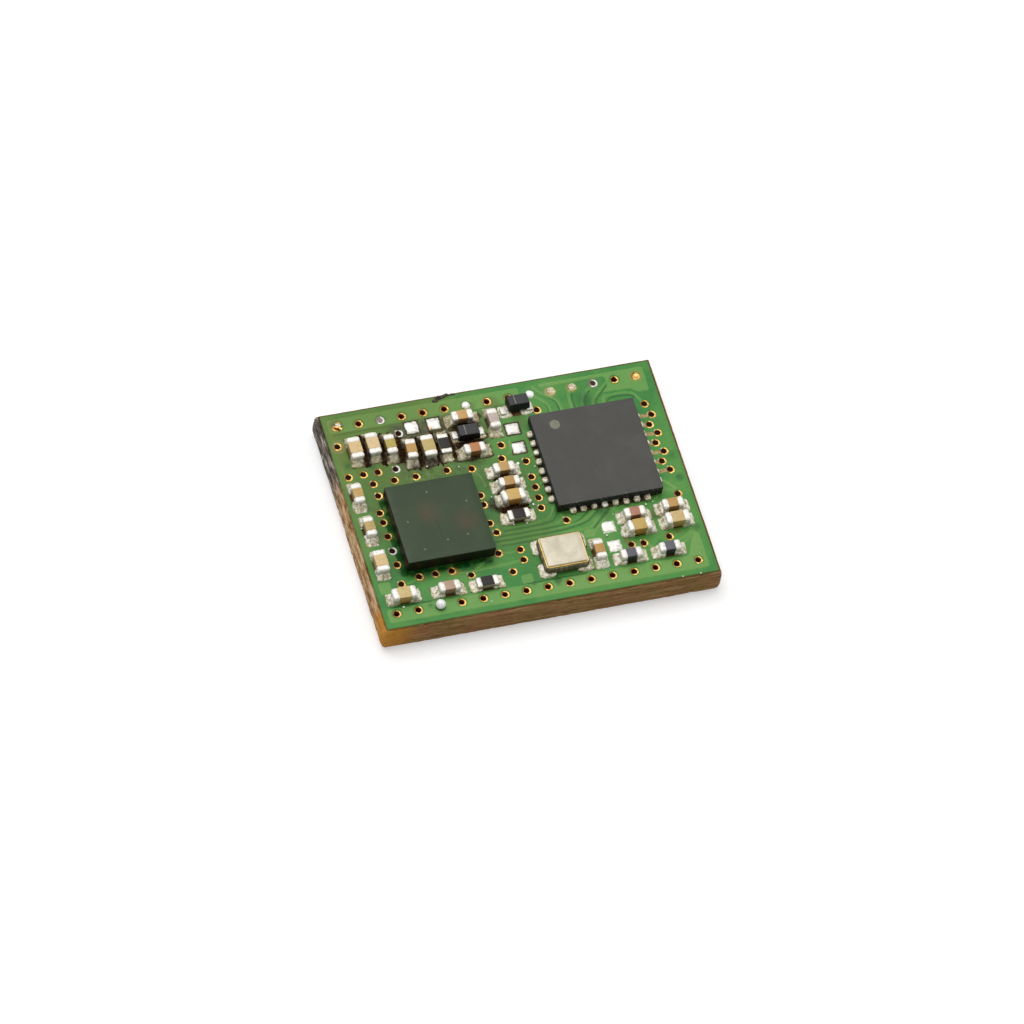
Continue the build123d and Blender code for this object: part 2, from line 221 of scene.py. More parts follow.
def window(x, y, length, width, turn=0.0):
    """A rectangular loop of points on the contact grid."""
    corners = ((-1, -1), (1, -1), (1, 1), (-1, 1))
    return [on_grid(x, y) + turned(sx * length / 2, sy * width / 2, turn) for sx, sy in corners]


def encloses(loop, x, y):
    """Whether a loop goes round a point."""
    inside = False
    for a, b in zip(loop, loop[1:] + loop[:1]):
        if (a.y > y) != (b.y > y) and x < a.x + (b.x - a.x) * (y - a.y) / (b.y - a.y):
            inside = not inside
    return inside


def flat_fill(loops, height, flip=False):
    """Triangles that fill the first loop and leave the others open."""
    coords, edges = [], []
    for loop in loops:
        start = len(coords)
        coords += [Vector((p.x, p.y)) for p in loop]
        edges += [(start + i, start + (i + 1) % len(loop)) for i in range(len(loop))]
    inside_outline = 1
    points, _, faces, *_ = delaunay_2d_cdt(coords, edges, [], inside_outline, 1e-6)
    kept = []
    for face in faces:
        x = sum(points[i].x for i in face) / len(face)
        y = sum(points[i].y for i in face) / len(face)
        if not any(encloses(hole, x, y) for hole in loops[1:]):
            kept.append(list(face)[::-1] if flip else list(face))
    return [at(p.x, p.y, height) for p in points], kept


def plate(outline, holes, low, high, bevel=0.0):
    """A flat plate with openings; bevel draws its top edge in."""
    shape = Shape()
    inner = [p - out * bevel for p, out in outline]
    outer = [p for p, out in outline]
    shape.add(flat_fill([inner] + holes, high))
    shape.add(flat_fill([outer] + holes, low, flip=True))
    for bottom, top, outward in [(outer, inner, True)] + [(hole, hole, False) for hole in holes]:
        points = [at(p.x, p.y, low) for p in bottom] + [at(p.x, p.y, high) for p in top]
        shape.add((points, quads(2, len(bottom), closed=True, flip=outward)))
    return shape


def lathe(profile, sides=24, wobble=0.0, seed=0):
    """A turned form from (radius, height) pairs; wobble makes it a little out of round."""
    points = []
    for radius, height in profile:
        for i in range(sides):
            out = polar(1, math.tau * i / sides)
            push = wobble * bumps(out.x, out.y, 1.3, seed * 3.1)
            points.append(out * radius * (1 + push) + at(0, 0, height))
    return points, quads(len(profile), sides, closed=True, flip=True)


cube_grids = {}


def cube_grid(cuts):
    """A cube from -1 to 1 with each face cut into a grid."""
    if cuts not in cube_grids:
        bm = bmesh.new()
        bmesh.ops.create_cube(bm, size=2)
        bmesh.ops.subdivide_edges(bm, edges=bm.edges, cuts=cuts, use_grid_fill=True)
        bm.verts.index_update()
        faces = [[v.index for v in face.verts] for face in bm.faces]
        cube_grids[cuts] = ([v.co.copy() for v in bm.verts], faces)
        bm.free()
    return cube_grids[cuts]


def pebble(length, width, height, radius, cuts=5, lumps=0.0, grain=9.0, seed=0.0):
    """A block with rounded edges that stands on its zero height; lumps push its skin in and out."""
    points, faces = cube_grid(cuts)
    half = at(length / 2, width / 2, height / 2)
    radius = min(radius, *(0.98 * h for h in half))
    segments = cuts + 1

    def spread(share, extent):
        step = round((share + 1) / 2 * segments)
        side = -1 if step * 2 < segments else 1
        from_edge = min(step, segments - step)
        if from_edge < 3 and from_edge * 2 < segments:
            return side * (extent - (0, 0.35, 1)[from_edge] * radius)
        return (step - segments / 2) / (segments / 2 - 2) * (extent - radius)

    made = []
    for p in points:
        q = Vector([spread(p[k], half[k]) for k in range(3)])
        inner = Vector([max(-(half[k] - radius), min(half[k] - radius, q[k])) for k in range(3)])
        away = q - inner
        if away.length > 1e-9:
            away.normalize()
            q = inner + away * radius
        if lumps:
            push = noise.noise(q * grain + at(seed, seed * 1.7))
            push += 0.5 * noise.noise(q * grain * 2.7 + at(0, seed, seed))
            q += (away if away.length > 1e-9 else at(0, 0, 1)) * push * lumps
        made.append(q + at(0, 0, half.z))
    return made, faces


def standing(x, y, z, turn=0.0, tilt=(0.0, 0.0)):
    """Where a piece stands: a place of the grid, a height, a turn and a tilt, in degrees."""
    spin = Euler((math.radians(tilt[0]), math.radians(tilt[1]), math.radians(turn)))
    return Matrix.Translation(on_grid(x, y, z)) @ spin.to_matrix().to_4x4()


def ribbon(path, width, height, base):
    """A raised line along a path of grid points: a trace under the mask."""
    places = [on_grid(x, y) for x, y in path]
    foot = width / 2 + 0.035
    shoulder = width / 2 - 0.01
    sections = ((-foot, 0.0), (-shoulder, 0.85), (0.0, 1.0), (shoulder, 0.85), (foot, 0.0))
    points = []
    for i, p in enumerate(places):
        before = (p - places[i - 1]).normalized() if i else None
        after = (places[i + 1] - p).normalized() if i + 1 < len(places) else None
        along = ((before or after) + (after or before)).normalized()
        across = at(-along.y, along.x)
        lean = across.dot(at(-(after or before).y, (after or before).x))
        for offset, lift in sections:
            points.append(p + across * offset / max(lean, 0.5) + at(0, 0, base + lift * height))
    return points, quads(len(places), len(sections))


def smooth_path(path, rounds=2):
    """Cuts a path's corners so that it bends softly."""
    for _ in range(rounds):
        softer = [path[0]]
        for (ax, ay), (bx, by) in zip(path, path[1:]):
            softer.append((ax * 0.75 + bx * 0.25, ay * 0.75 + by * 0.25))
            softer.append((ax * 0.25 + bx * 0.75, ay * 0.25 + by * 0.75))
        path = softer + [path[-1]]
    return path


def corner_distance(x, y, half_x, half_y, radius):
    """How far inside a rounded rectangle a point lies."""
    dx, dy = abs(x) - (half_x - radius), abs(y) - (half_y - radius)
    outside = math.hypot(max(dx, 0), max(dy, 0))
    return radius - outside - min(max(dx, dy), 0)


def mound(length, width, height_at, cells=(14, 12), radius=0.1, rim=0.1, seed=0.0, ragged=0.02):
    """A lump on a rounded rectangle: its skin rises from the rim to height_at(x, y)."""
    points = []
    columns, rows = cells
    for i in range(columns + 1):
        for j in range(rows + 1):
            u = math.sin((2 * i / columns - 1) * math.pi / 2)
            v = math.sin((2 * j / rows - 1) * math.pi / 2)
            reach = 1 + ragged / length * 2 * bumps(u, v, 2, seed)
            round_off = (u * u * v * v) ** 2 * radius * 0.6
            x, y = u * length / 2 * reach, v * width / 2 * reach
            x -= math.copysign(round_off, x)
            y -= math.copysign(round_off, y)
            inside = corner_distance(x, y, length / 2 * reach, width / 2 * reach, radius)
            share = min(1.0, max(0.0, inside) / rim)
            at_rim = max(abs(u), abs(v)) >= 0.999
            rise = 0.0 if at_rim else math.sqrt(max(0.0, 1 - (1 - share) ** 2))
            points.append(at(x, y, rise * height_at(x, y)))
    return points, quads(columns + 1, rows + 1)


# Materials


class Tree:
    """A node tree and short ways to add to it."""

    def __init__(self, owner):
        owner.use_nodes = True
        self.tree = owner.node_tree
        self.tree.nodes.clear()

    def feed(self, socket, value):
        """Links a socket or sets its value; a tuple is a colour."""
        if isinstance(value, bpy.types.NodeSocket):
            self.tree.links.new(value, socket)
        else:
            socket.default_value = colour(*value) if isinstance(value, tuple) else value

    def node(self, kind, inputs, output=0, **settings):
        made = self.tree.nodes.new("ShaderNode" + kind)
        for name, value in settings.items():
            setattr(made, name, value)
        for name, value in inputs.items():
            self.feed(made.inputs[name], value)
        return made.outputs[output] if output is not None else None

    def calc(self, operation, a, b):
        return self.node("Math", {0: a, 1: b}, operation=operation)

    def plus(self, a, b):
        return self.calc("ADD", a, b)

    def times(self, *shares):
        found = shares[0]
        for share in shares[1:]:
            found = self.calc("MULTIPLY", found, share)
        return found


class Nodes(Tree):
    """A material with one shader."""

    def __init__(self, name):
        self.material = bpy.data.materials.new(name)
        super().__init__(self.material)
        self.shader = self.tree.nodes.new("ShaderNodeBsdfPrincipled")
        self.node("OutputMaterial", {0: self.shader.outputs[0]}, None)

    def place(self, stretch=(1, 1, 1)):
        """The position on the object, in millimetres."""
        here = self.node("TexCoord", {}, "Object")
        return self.node("Mapping", {"Vector": here, "Scale": [s / MM for s in stretch]})

    def noise(self, scale, detail=3, distortion=0.0, stretch=(1, 1, 1), roughness=0.55):
        inputs = {"Vector": self.place(stretch), "Scale": scale, "Detail": detail}
        inputs |= {"Roughness": roughness, "Distortion": distortion}
        return self.node("TexNoise", inputs)

    def axis(self, name):
        """One coordinate of the position, in millimetres of the row frame."""
        return self.node("SeparateXYZ", {0: self.place()}, name)

    def facing_up(self):
        """1 where the surface faces up, 0 where it is upright."""
        return self.node("SeparateXYZ", {0: self.node("NewGeometry", {}, "Normal")}, "Z")

    def step(self, value, low, high):
        """0 below low, 1 above high and smooth between; high may be the smaller."""
        inputs = {"Value": value, "From Min": low, "From Max": high}
        return self.node("MapRange", inputs, interpolation_type="SMOOTHSTEP")

    def spot(self, x, y, radius, soft, warp=0.0):
        """1 inside a round spot of the grid, fading out over soft."""
        centre = on_grid(x, y)
        dx = self.calc("SUBTRACT", self.axis("X"), centre.x)
        dy = self.calc("SUBTRACT", self.axis("Y"), centre.y)
        squares = self.plus(self.calc("POWER", dx, 2.0), self.calc("POWER", dy, 2.0))
        return self.step(self.plus(self.calc("POWER", squares, 0.5), warp), radius + soft, radius)

    def region(self, x0, x1, y0, y1, soft):
        """1 inside a rectangle of the grid, fading in over soft."""
        x, y = self.axis("X"), self.axis("Y")
        left = self.step(x, x0 + GRID_X - soft, x0 + GRID_X + soft)
        right = self.step(x, x1 + GRID_X + soft, x1 + GRID_X - soft)
        return self.times(left, right, self.step(y, y0 - soft, y0 + soft), self.step(y, y1 + soft, y1 - soft))

    def crevices(self):
        """1 in the narrow gaps between chips that stand side by side."""
        found = 0.0
        for gap in CREVICES:
            found = self.calc("MAXIMUM", found, self.region(*gap, 0.05))
        return found

    def mix(self, share, a, b):
        return self.node("Mix", {0: share, 6: a, 7: b}, 2, data_type="RGBA")

    def lay(self, base, shade, *shares):
        """Lays a colour over another, by the product of the shares."""
        return self.mix(self.times(*shares), base, shade)

    def ramp(self, value, *stops):
        node = self.tree.nodes.new("ShaderNodeValToRGB")
        self.feed(node.inputs[0], value)
        elements = node.color_ramp.elements
        while len(elements) < len(stops):
            elements.new(0.5)
        for element, (position, shade) in zip(elements, stops):
            element.position = position
            element.color = colour(*shade) if isinstance(shade, tuple) else shade
        return node.outputs[0]

    def grey(self, value, low, high, position=(0.3, 0.7)):
        """A number that runs from low to high with the value."""
        inputs = {"Value": value, "From Min": position[0], "From Max": position[1]}
        return self.node("MapRange", inputs | {"To Min": low, "To Max": high})

    def relief(self, height, depth):
        """Bump whose height runs over depth, in millimetres."""
        bump = self.node("Bump", {"Strength": 1.0, "Distance": depth * MM, "Height": height})
        self.feed(self.shader.inputs["Normal"], bump)

    def surface(self, base, roughness, metallic=0.0, specular=0.5):
        self.feed(self.shader.inputs["Base Color"], base)
        self.feed(self.shader.inputs["Roughness"], roughness)
        self.shader.inputs["Metallic"].default_value = metallic
        self.shader.inputs["Specular IOR Level"].default_value = specular
        return self.material


SHADE_GREEN = (16, 82, 28)
TAN = (176, 146, 84)
BROWN = (112, 80, 34)
# Brown of residue and painted shade in the gaps between chips
CREVICE_RESIDUE_AND_SHADE = (46, 30, 10)
DUST = (84, 80, 42)

# Round stains, most of them about vias: place, radius and colour
STAINS = (
    (-3.93, -3.38, 0.17, (190, 104, 30)),
    (-5.45, -3.42, 0.20, (112, 104, 26)),
    (-3.04, 5.02, 0.16, (190, 138, 70)),
    (-0.04, 5.02, 0.16, (186, 138, 74)),
    (-7.00, 5.12, 0.26, (92, 88, 40)),
    (-7.22, 3.98, 0.30, (150, 132, 84)),
    (7.00, 5.00, 0.22, (190, 146, 78)),
    (2.93, 4.93, 0.20, (206, 176, 130)),
    (3.94, 4.96, 0.20, TAN),
    (5.00, 5.00, 0.24, (110, 104, 84)),
    (6.50, -3.36, 0.10, BROWN),
    (4.10, -3.36, 0.10, BROWN),
)
# Dust spots of the mask, and below them spots of painted shade: place, radius and how softly they end
DUSTY = (
    (5.72, -2.30, 0.22, 0.40), (1.12, -0.70, 0.10, 0.24), (0.15, 4.80, 0.35, 0.40),
    (-0.75, 4.95, 0.10, 0.40), (1.15, 3.62, 0.20, 0.45), (0.42, 0.85, 0.10, 0.30),
    (-1.30, 0.90, 0.10, 0.36), (-1.28, -1.20, 0.10, 0.36), (1.98, -3.70, 0.12, 0.34),
    (-6.62, 0.50, 0.10, 0.34), (-6.62, -0.90, 0.10, 0.40),
)
SHADED = (
    (-6.18, -0.60, 0.10, 0.30), (-6.15, -1.60, 0.12, 0.34), (-6.12, -2.85, 0.18, 0.42),
    (-1.72, -1.00, 0.08, 0.30), (-1.72, -2.30, 0.08, 0.34), (0.50, -4.78, 0.22, 0.24),
    (-0.60, -4.72, 0.10, 0.22), (-5.40, -4.88, 0.10, 0.24), (-6.05, 2.70, 0.10, 0.40),
    (-7.10, 2.90, 0.12, 0.34), (-6.75, 0.55, 0.06, 0.30), (7.42, 0.60, 0.05, 0.50),
    (7.42, -0.60, 0.05, 0.50), (7.42, -3.30, 0.10, 0.40), (-5.20, -3.10, 0.30, 0.50),
    (-3.30, -3.10, 0.30, 0.50), (5.60, -3.80, 0.12, 0.30), (5.70, -2.40, 0.10, 0.34),
    (1.15, -0.20, 0.05, 0.40), (3.55, -1.75, 0.10, 0.60), (4.40, 4.15, 0.10, 0.80),
)
# Narrow gaps between chips that stand side by side, darkened with residue and painted shade: from and to in
# x, then in y
CREVICES = (
    (-6.38, -5.99, 2.75, 4.34), (-5.54, -5.17, 2.70, 4.24), (-4.78, -4.35, 2.60, 3.95),
    (-3.94, -3.57, 2.20, 3.70), (-3.08, -2.76, 2.25, 3.80), (-2.34, -2.10, 2.40, 3.70),
    (-1.95, -0.80, 3.74, 4.02), (-1.95, -0.75, 2.74, 3.14), (-0.85, 0.20, 0.72, 0.96),
    (-0.90, 0.25, 0.02, 0.20), (-0.95, 0.30, -0.98, -0.60),
)
# Where the joints are burnt: place, radius and how softly the burn ends
BURNT = ((-4.15, 2.12, 0.22, 0.24), (-3.35, 2.24, 0.40, 0.22), (-1.02, -0.52, 0.06, 0.20))
SENSOR_SPECKS = (
    (-4.22, 0.40), (-5.47, -0.96), (-2.60, -0.40), (-3.96, -2.20), (-5.10, -2.50), (-3.00, -2.10),
)


def mask_material(name, shades, wear_and_shade=0.0, age=0.62, gloss=0.28):
    """Green mask. Wear lays on it the residue, burns and stains of the upper face, and painted shade in
    spots, by the sensor and between chips; age is how far it has yellowed towards the far left corner."""
    m = Nodes(name)
    fine = m.noise(7.0, 4)
    base = m.ramp(m.noise(0.42, 3, 0.6), *zip((0.36, 0.50, 0.66), shades))
    base = m.lay(base, m.ramp(fine, (0.30, (60, 112, 36)), (0.72, (104, 158, 78))), 0.16)
    if wear_and_shade:
        warp = m.times(m.noise(1.1, 4, 0.8), 1.6)
        base = m.lay(base, (92, 104, 22), m.spot(-5.2, 4.4, 2.6, 4.6, warp), age)
        left = m.step(m.axis("X"), -6.9, -7.6)
        base = m.lay(base, (124, 128, 58), left, m.step(m.axis("Y"), -3.2, -1.6), 0.30)
        base = m.lay(base, (64, 92, 26), m.region(-6.8, 1.2, -2.9, 2.2, 0.7), 0.45)
        uneven = m.times(m.noise(4.0, 4), 0.3)
        # Spots of painted shade, then spots of dust
        for shade, share, spots in ((SHADE_GREEN, 0.75, SHADED), (DUST, 0.5, DUSTY)):
            for spot in spots:
                base = m.lay(base, shade, m.spot(*spot, uneven), share)
    edge_x = m.step(m.calc("ABSOLUTE", m.axis("X"), 0), 7.42, 7.66)
    edge_y = m.step(m.calc("ABSOLUTE", m.axis("Y"), 0), 5.47, 5.66)
    base = m.lay(base, (60, 126, 52), m.calc("MAXIMUM", edge_x, edge_y), 0.35)
    if wear_and_shade:
        crowd = m.region(-4.75, -0.55, 2.30, 4.62, 0.28)
        residue_shades = m.ramp(m.noise(5.0, 4), (0.36, (44, 40, 22)), (0.64, (86, 90, 60)))
        base = m.lay(base, residue_shades, crowd, m.step(m.noise(2.4, 5, 1.2), 0.22, 0.38), wear_and_shade)
        below = m.region(-4.9, -1.0, 1.45, 2.35, 0.35)
        base = m.lay(base, (122, 142, 100), below, m.step(m.noise(4.5, 5, 1.0), 0.46, 0.66), 0.42)
        base = m.lay(base, (62, 80, 30), below, m.step(m.noise(3.1, 4), 0.42, 0.60), 0.5)
        burn = m.spot(-1.22, -0.36, 0.20, 0.42, m.times(m.noise(6.0, 4), 0.25))
        base = m.lay(base, (38, 32, 12), burn, m.plus(m.step(m.noise(12.0, 3), 0.36, 0.54), 0.25))
        # Residue and painted shade in the gaps between chips
        base = m.lay(base, CREVICE_RESIDUE_AND_SHADE, m.crevices(), 0.85)
        # Painted shade in ragged blotches along the sensor's left and near walls
        beside = m.region(-6.22, -5.85, -3.25, 0.90, 0.10)
        before = m.region(-5.90, -2.05, -3.28, -2.98, 0.10)
        shade_blotches = m.step(m.noise(1.9, 4, 0.8), 0.42, 0.56)
        base = m.lay(base, (8, 62, 16), m.calc("MAXIMUM", beside, before), shade_blotches, 0.85)
        for x, y, radius, tint in STAINS:
            halo = m.spot(x, y, radius, 0.22, m.times(m.noise(6.0, 3), 0.16))
            base = m.lay(base, tint, halo, 0.55)
    m.relief(m.plus(m.noise(3.0, 3), m.times(m.noise(22.0, 2), 0.25)), 0.012)
    return m.surface(base, m.grey(fine, 0.30, 0.46), specular=gloss)


MASK_SHADES = ((44, 122, 50), (68, 136, 56), (84, 144, 62))
mask_green = mask_material("mask_green", MASK_SHADES, 0.9)
mask_pour = mask_material("mask_pour", ((98, 152, 72), (108, 156, 76), (116, 158, 82)), 0.8, 0.42)
mask_trace = mask_material("mask_trace", ((84, 146, 66), (96, 150, 70), (106, 154, 76)), 0.6)
mask_gap = mask_material("mask_gap", ((24, 88, 30), (34, 98, 34), (46, 106, 38)), 0.8)
# Deep green for the patches of painted shade beside the sensor
mask_painted_shade = mask_material("mask_painted_shade", ((8, 60, 14), (18, 80, 26), (32, 104, 42)), 0.3, 0.2, 0.06)
mask_under = mask_material("mask_under", MASK_SHADES)


def laminate_material():
    """Glass-fibre edge: brown and layered, charred along the left side."""
    m = Nodes("laminate_edge")
    layers = m.noise(1.0, 6, 0.5, (0.45, 0.45, 9.0), 0.66)
    fibres = m.noise(1.0, 5, 0.0, (2.6, 2.6, 30.0), 0.7)
    browns = ((92, 62, 30), (150, 110, 66), (182, 140, 90), (222, 184, 130))
    tints = ((170, 100, 64), (166, 126, 76), (150, 124, 60), (134, 112, 44))
    layered = m.ramp(layers, *zip((0.32, 0.44, 0.56, 0.68), browns))
    tinted = m.ramp(m.noise(0.55, 4, 1.0), *zip((0.34, 0.46, 0.58, 0.70), tints))
    base = m.lay(layered, tinted, 0.45)
    pale = m.step(fibres, 0.60, 0.72)
    base = m.lay(base, (240, 214, 170), pale, 0.65)
    groove = m.step(m.noise(1.0, 4, 0.0, (1.6, 1.6, 16.0)), 0.44, 0.34)
    base = m.lay(base, (74, 48, 18), groove, 0.55)
    left = m.step(m.axis("X"), -7.40, -7.66)
    bark = m.noise(1.0, 5, 0.25, (1.2, 1.2, 6.5), 0.66)
    tan = m.ramp(bark, (0.36, (110, 70, 30)), (0.47, (196, 142, 86)), (0.57, (248, 214, 168)))
    base = m.lay(base, m.lay(tan, (250, 230, 196), pale, 0.5), left, 0.9)
    amber = m.spot(-7.7, -5.7, 0.6, 1.5, m.times(m.noise(1.6, 3), 0.5))
    base = m.lay(base, (226, 156, 50), amber, 0.80)
    base = m.lay(base, (206, 150, 70), m.step(m.axis("Z"), 0.40, 0.10), 0.40)
    wander = m.times(m.noise(0.9, 4, 0.8), 3.0)
    far = m.step(m.plus(m.axis("Y"), wander), 2.4, 4.8)
    chars = ((0.36, (34, 30, 27)), (0.47, (96, 88, 78)), (0.55, (140, 130, 116)), (0.64, (236, 222, 210)))
    base = m.lay(base, m.ramp(bark, *chars), left, far)
    lip = m.step(m.plus(m.axis("Z"), m.times(m.noise(2.0, 3), 0.06)), 1.40, 1.45)
    base = m.lay(base, (56, 44, 18), lip, 0.75)
    m.relief(m.plus(layers, m.times(fibres, 0.8)), 0.09)
    return m.surface(base, m.grey(fibres, 0.62, 0.92), specular=0.2)


def mottled(name, grain, stops, roughness, relief=0.0, metallic=0.0, specular=0.5, fine=0.0):
    """A few shades of one noise, with relief of the same noise or of a finer one."""
    m = Nodes(name)
    lumps = m.noise(*grain)
    base = m.ramp(lumps, *stops)
    if relief:
        m.relief(m.noise(fine, 3) if fine else lumps, relief)
    return m.surface(base, m.grey(lumps, *roughness), metallic, specular)


def metal_material(name, dark, light, roughness, metallic=1.0, relief=0.008):
    """Plated metal: two shades in patches, with a lightly uneven skin."""
    stops = ((0.34, dark), (0.62, light))
    return mottled(name, (9.0, 4, 0.4), stops, roughness, relief, metallic, fine=22.5)


def char_material(name, dark, middle, light, specular=0.15):
    """Burnt flux and soot."""
    stops = ((0.34, dark), (0.52, middle), (0.70, light))
    return mottled(name, (8.0, 5, 1.0), stops, (0.50, 0.80), 0.05, specular=specular)


def bore_material(name, dark, light):
    """The dark inside of a via."""
    return mottled(name, (12.0, 2), ((0.35, dark), (0.65, light)), (0.5, 0.8), specular=0.05)


def solder_material():
    """Dull lumpy solder, with amber flux left where it is low, painted shade on its upright slopes and olive
    residue in the far corner.
    """
    m = Nodes("solder")
    lumps = m.noise(6.5, 5, 0.8)
    base = m.ramp(lumps, (0.36, (158, 142, 100)), (0.47, (216, 207, 176)), (0.58, (255, 254, 246)))
    low = m.step(m.axis("Z"), BOARD_TOP + 0.20, BOARD_TOP + 0.02)
    amber = m.ramp(m.noise(7.0, 4), (0.36, (142, 122, 72)), (0.50, (190, 181, 138)), (0.62, (230, 227, 204)))
    patch = m.step(m.noise(4.5, 4, 0.8), 0.38, 0.60)
    base = m.lay(base, amber, low, m.grey(patch, 0.22, 0.80, (0, 1)))
    # Painted shade on the upright slopes
    base = m.lay(base, (150, 134, 90), m.step(m.facing_up(), 0.55, 0.1), 0.25)
    base = m.lay(base, (104, 84, 48), m.step(m.noise(15.0, 3), 0.62, 0.70), 0.42)
    crowd = m.times(m.step(m.axis("X"), 0.5, -0.5), m.step(m.axis("Y"), 1.9, 2.6))
    old = m.ramp(m.noise(5.5, 5, 0.9), (0.36, (66, 44, 18)), (0.48, (144, 128, 80)), (0.62, (212, 204, 162)))
    climbing = m.step(m.axis("Z"), BOARD_TOP + 0.44, BOARD_TOP + 0.08)
    base = m.lay(base, old, crowd, climbing, 0.78)
    # Residue and painted shade in the gaps between chips
    base = m.lay(base, CREVICE_RESIDUE_AND_SHADE, m.crevices(), 0.85)
    warp = m.times(m.noise(7.0, 4), 0.2)
    soot = m.ramp(m.noise(8.0, 4), (0.36, (30, 26, 16)), (0.54, (78, 70, 50)), (0.68, (140, 130, 102)))
    for spot in BURNT:
        base = m.lay(base, soot, m.spot(*spot, warp))
    m.relief(m.plus(lumps, m.times(m.noise(26.0, 2), 0.3)), 0.03)
    return m.surface(base, m.grey(lumps, 0.36, 0.58), 0.15)


def ceramic_material(name, shade, stain=(84, 56, 22)):
    """Fired ceramic. Its upright sides are darkened low down by flux stain and painted shade."""
    m = Nodes(name)
    mottle = m.noise(6.0, 4)
    base = m.ramp(mottle, (0.34, scaled(shade, 0.86)), (0.62, shade))
    base = m.lay(base, (246, 230, 196), m.step(m.noise(28.0, 2), 0.66, 0.74), 0.25)
    low = m.step(m.axis("Z"), CHIP_SEAT + 0.30, CHIP_SEAT)
    # Flux stain and painted shade on the upright sides, strongest low down
    base = m.lay(base, stain, m.step(m.facing_up(), 0.75, 0.25), m.grey(low, 0.45, 0.92, (0, 1)))
    m.relief(m.noise(18.0, 3), 0.006)
    return m.surface(base, m.grey(mottle, 0.34, 0.52), specular=0.35)


def moulding(name, shade, worn, relief=0.012):
    """Moulded epoxy with a fine grain, paler where it is worn, and near black on its sides: painted shade."""
    m = Nodes(name)
    grain = m.noise(26.0, 3)
    base = m.ramp(grain, (0.30, scaled(shade, 0.8)), (0.70, shade))
    base = m.lay(base, worn, m.step(m.noise(0.8, 3), 0.40, 0.70), 0.35)
    # Painted shade: the upright sides near black
    base = m.lay(base, (8, 7, 5), m.step(m.facing_up(), 0.7, 0.2), 0.92)
    m.relief(grain, relief)
    return m, base, grain


def black_material(name, shade, specular=0.4):
    m, base, grain = moulding(name, shade, scaled(shade, 1.3))
    return m.surface(base, m.grey(grain, 0.42, 0.6), specular=specular)


def mcu_material():
    """The controller's moulding, with a round dot at its first corner and a nicked near edge."""
    m, base, grain = moulding("mcu_moulding", (76, 75, 72), (86, 86, 82))
    speckle = m.times(m.step(m.noise(16.0, 3), 0.36, 0.56), 0.5)
    base = m.lay(base, (132, 132, 114), m.spot(2.49, 2.86, 0.21, 0.05), m.plus(speckle, 0.5))
    near_edge = MCU_PLACE[1] - MCU_SIDE / 2
    ridge = m.step(m.axis("Y"), near_edge + 0.09, near_edge + 0.03)
    base = m.lay(base, (150, 148, 138), ridge, m.step(m.noise(9.0, 3), 0.60, 0.66), 0.6)
    return m.surface(base, m.grey(grain, 0.48, 0.66), specular=0.25)


def sensor_material():
    """Dark green film with two reddish patches, a faint crack and a few pale specks; its sides are painted
    near black as shade.
    """
    m, base, grain = moulding("sensor_skin", (55, 70, 47), (63, 79, 54), 0.006)
    warp = m.times(m.noise(1.6, 4, 1.0), 0.7)
    for x, y in ((-4.45, -0.65), (-2.85, -1.35)):
        base = m.lay(base, (98, 70, 54), m.spot(x, y, 0.40, 0.85, warp), 0.34)
    base = m.lay(base, (34, 40, 28), m.region(-4.19, -4.15, -2.3, -1.1, 0.02), 0.4)
    for x, y in SENSOR_SPECKS:
        base = m.lay(base, (150, 160, 138), m.spot(x, y, 0.02, 0.035), 0.6)
    # Painted shade: the upright sides near black
    base = m.mix(m.step(m.facing_up(), 0.35, 0.8), (9, 7, 4), base)
    return m.surface(base, m.grey(m.noise(2.2, 3), 0.36, 0.48), specular=0.2)


def crystal_ceramic_material():
    """The crystal's base: dull grey ceramic with fine upright lines."""
    m = Nodes("crystal_ceramic")
    lines = m.noise(1.0, 3, 0.0, (7.0, 7.0, 0.8))
    base = m.ramp(lines, (0.36, (58, 50, 34)), (0.56, (112, 102, 78)), (0.70, (156, 146, 118)))
    base = m.lay(base, (54, 50, 22), m.step(m.axis("Z"), 1.76, 1.56), 0.7)
    m.relief(lines, 0.015)
    return m.surface(base, m.grey(lines, 0.42, 0.62))


def crystal_lid_material():
    """Pale plated lid with a soft grain."""
    m = Nodes("crystal_lid")
    grain = m.noise(12.0, 3)
    base = m.ramp(m.noise(1.6, 3, 0.6), (0.34, (184, 174, 150)), (0.66, (206, 197, 176)))
    base = m.lay(base, (226, 219, 202), m.grey(grain, 0.0, 0.20))
    m.relief(grain, 0.008)
    return m.surface(base, m.grey(grain, 0.42, 0.58), 0.25)


def pillow_material():
    """Solder on a bare land: bright, with soft dents and one orange flux stain."""
    m = Nodes("tin_pillow")
    dents = m.noise(5.0, 3, 0.5)
    base = m.ramp(dents, (0.36, (206, 202, 190)), (0.58, (238, 236, 230)))
    warp = m.times(m.noise(7.0, 3), 0.16)
    base = m.lay(base, (210, 160, 98), m.spot(-2.90, 4.10, 0.05, 0.22, warp), 0.85)
    m.relief(dents, 0.03)
    return m.surface(base, m.grey(dents, 0.36, 0.52), 0.35)


def end_material():
    """Tinned chip ends: bright on top, with flux and painted shade low on their upright sides."""
    m = Nodes("tinned_ends")
    patches = m.noise(9.0, 4, 0.4)
    base = m.ramp(patches, (0.34, (214, 208, 196)), (0.60, (244, 241, 234)))
    # Flux and painted shade low on the upright sides
    side = m.step(m.facing_up(), 0.5, 0.1)
    base = m.lay(base, (128, 112, 72), side, m.step(m.axis("Z"), CHIP_SEAT + 0.42, CHIP_SEAT + 0.05), 0.7)
    # Residue and painted shade on the sides that face the gaps between chips
    base = m.lay(base, CREVICE_RESIDUE_AND_SHADE, side, m.crevices(), 0.9)
    m.relief(m.noise(22.0, 3), 0.012)
    return m.surface(base, m.grey(patches, 0.38, 0.54), 0.3)


# Board places: the vias inside the board, and the traces and copper areas that show under the mask

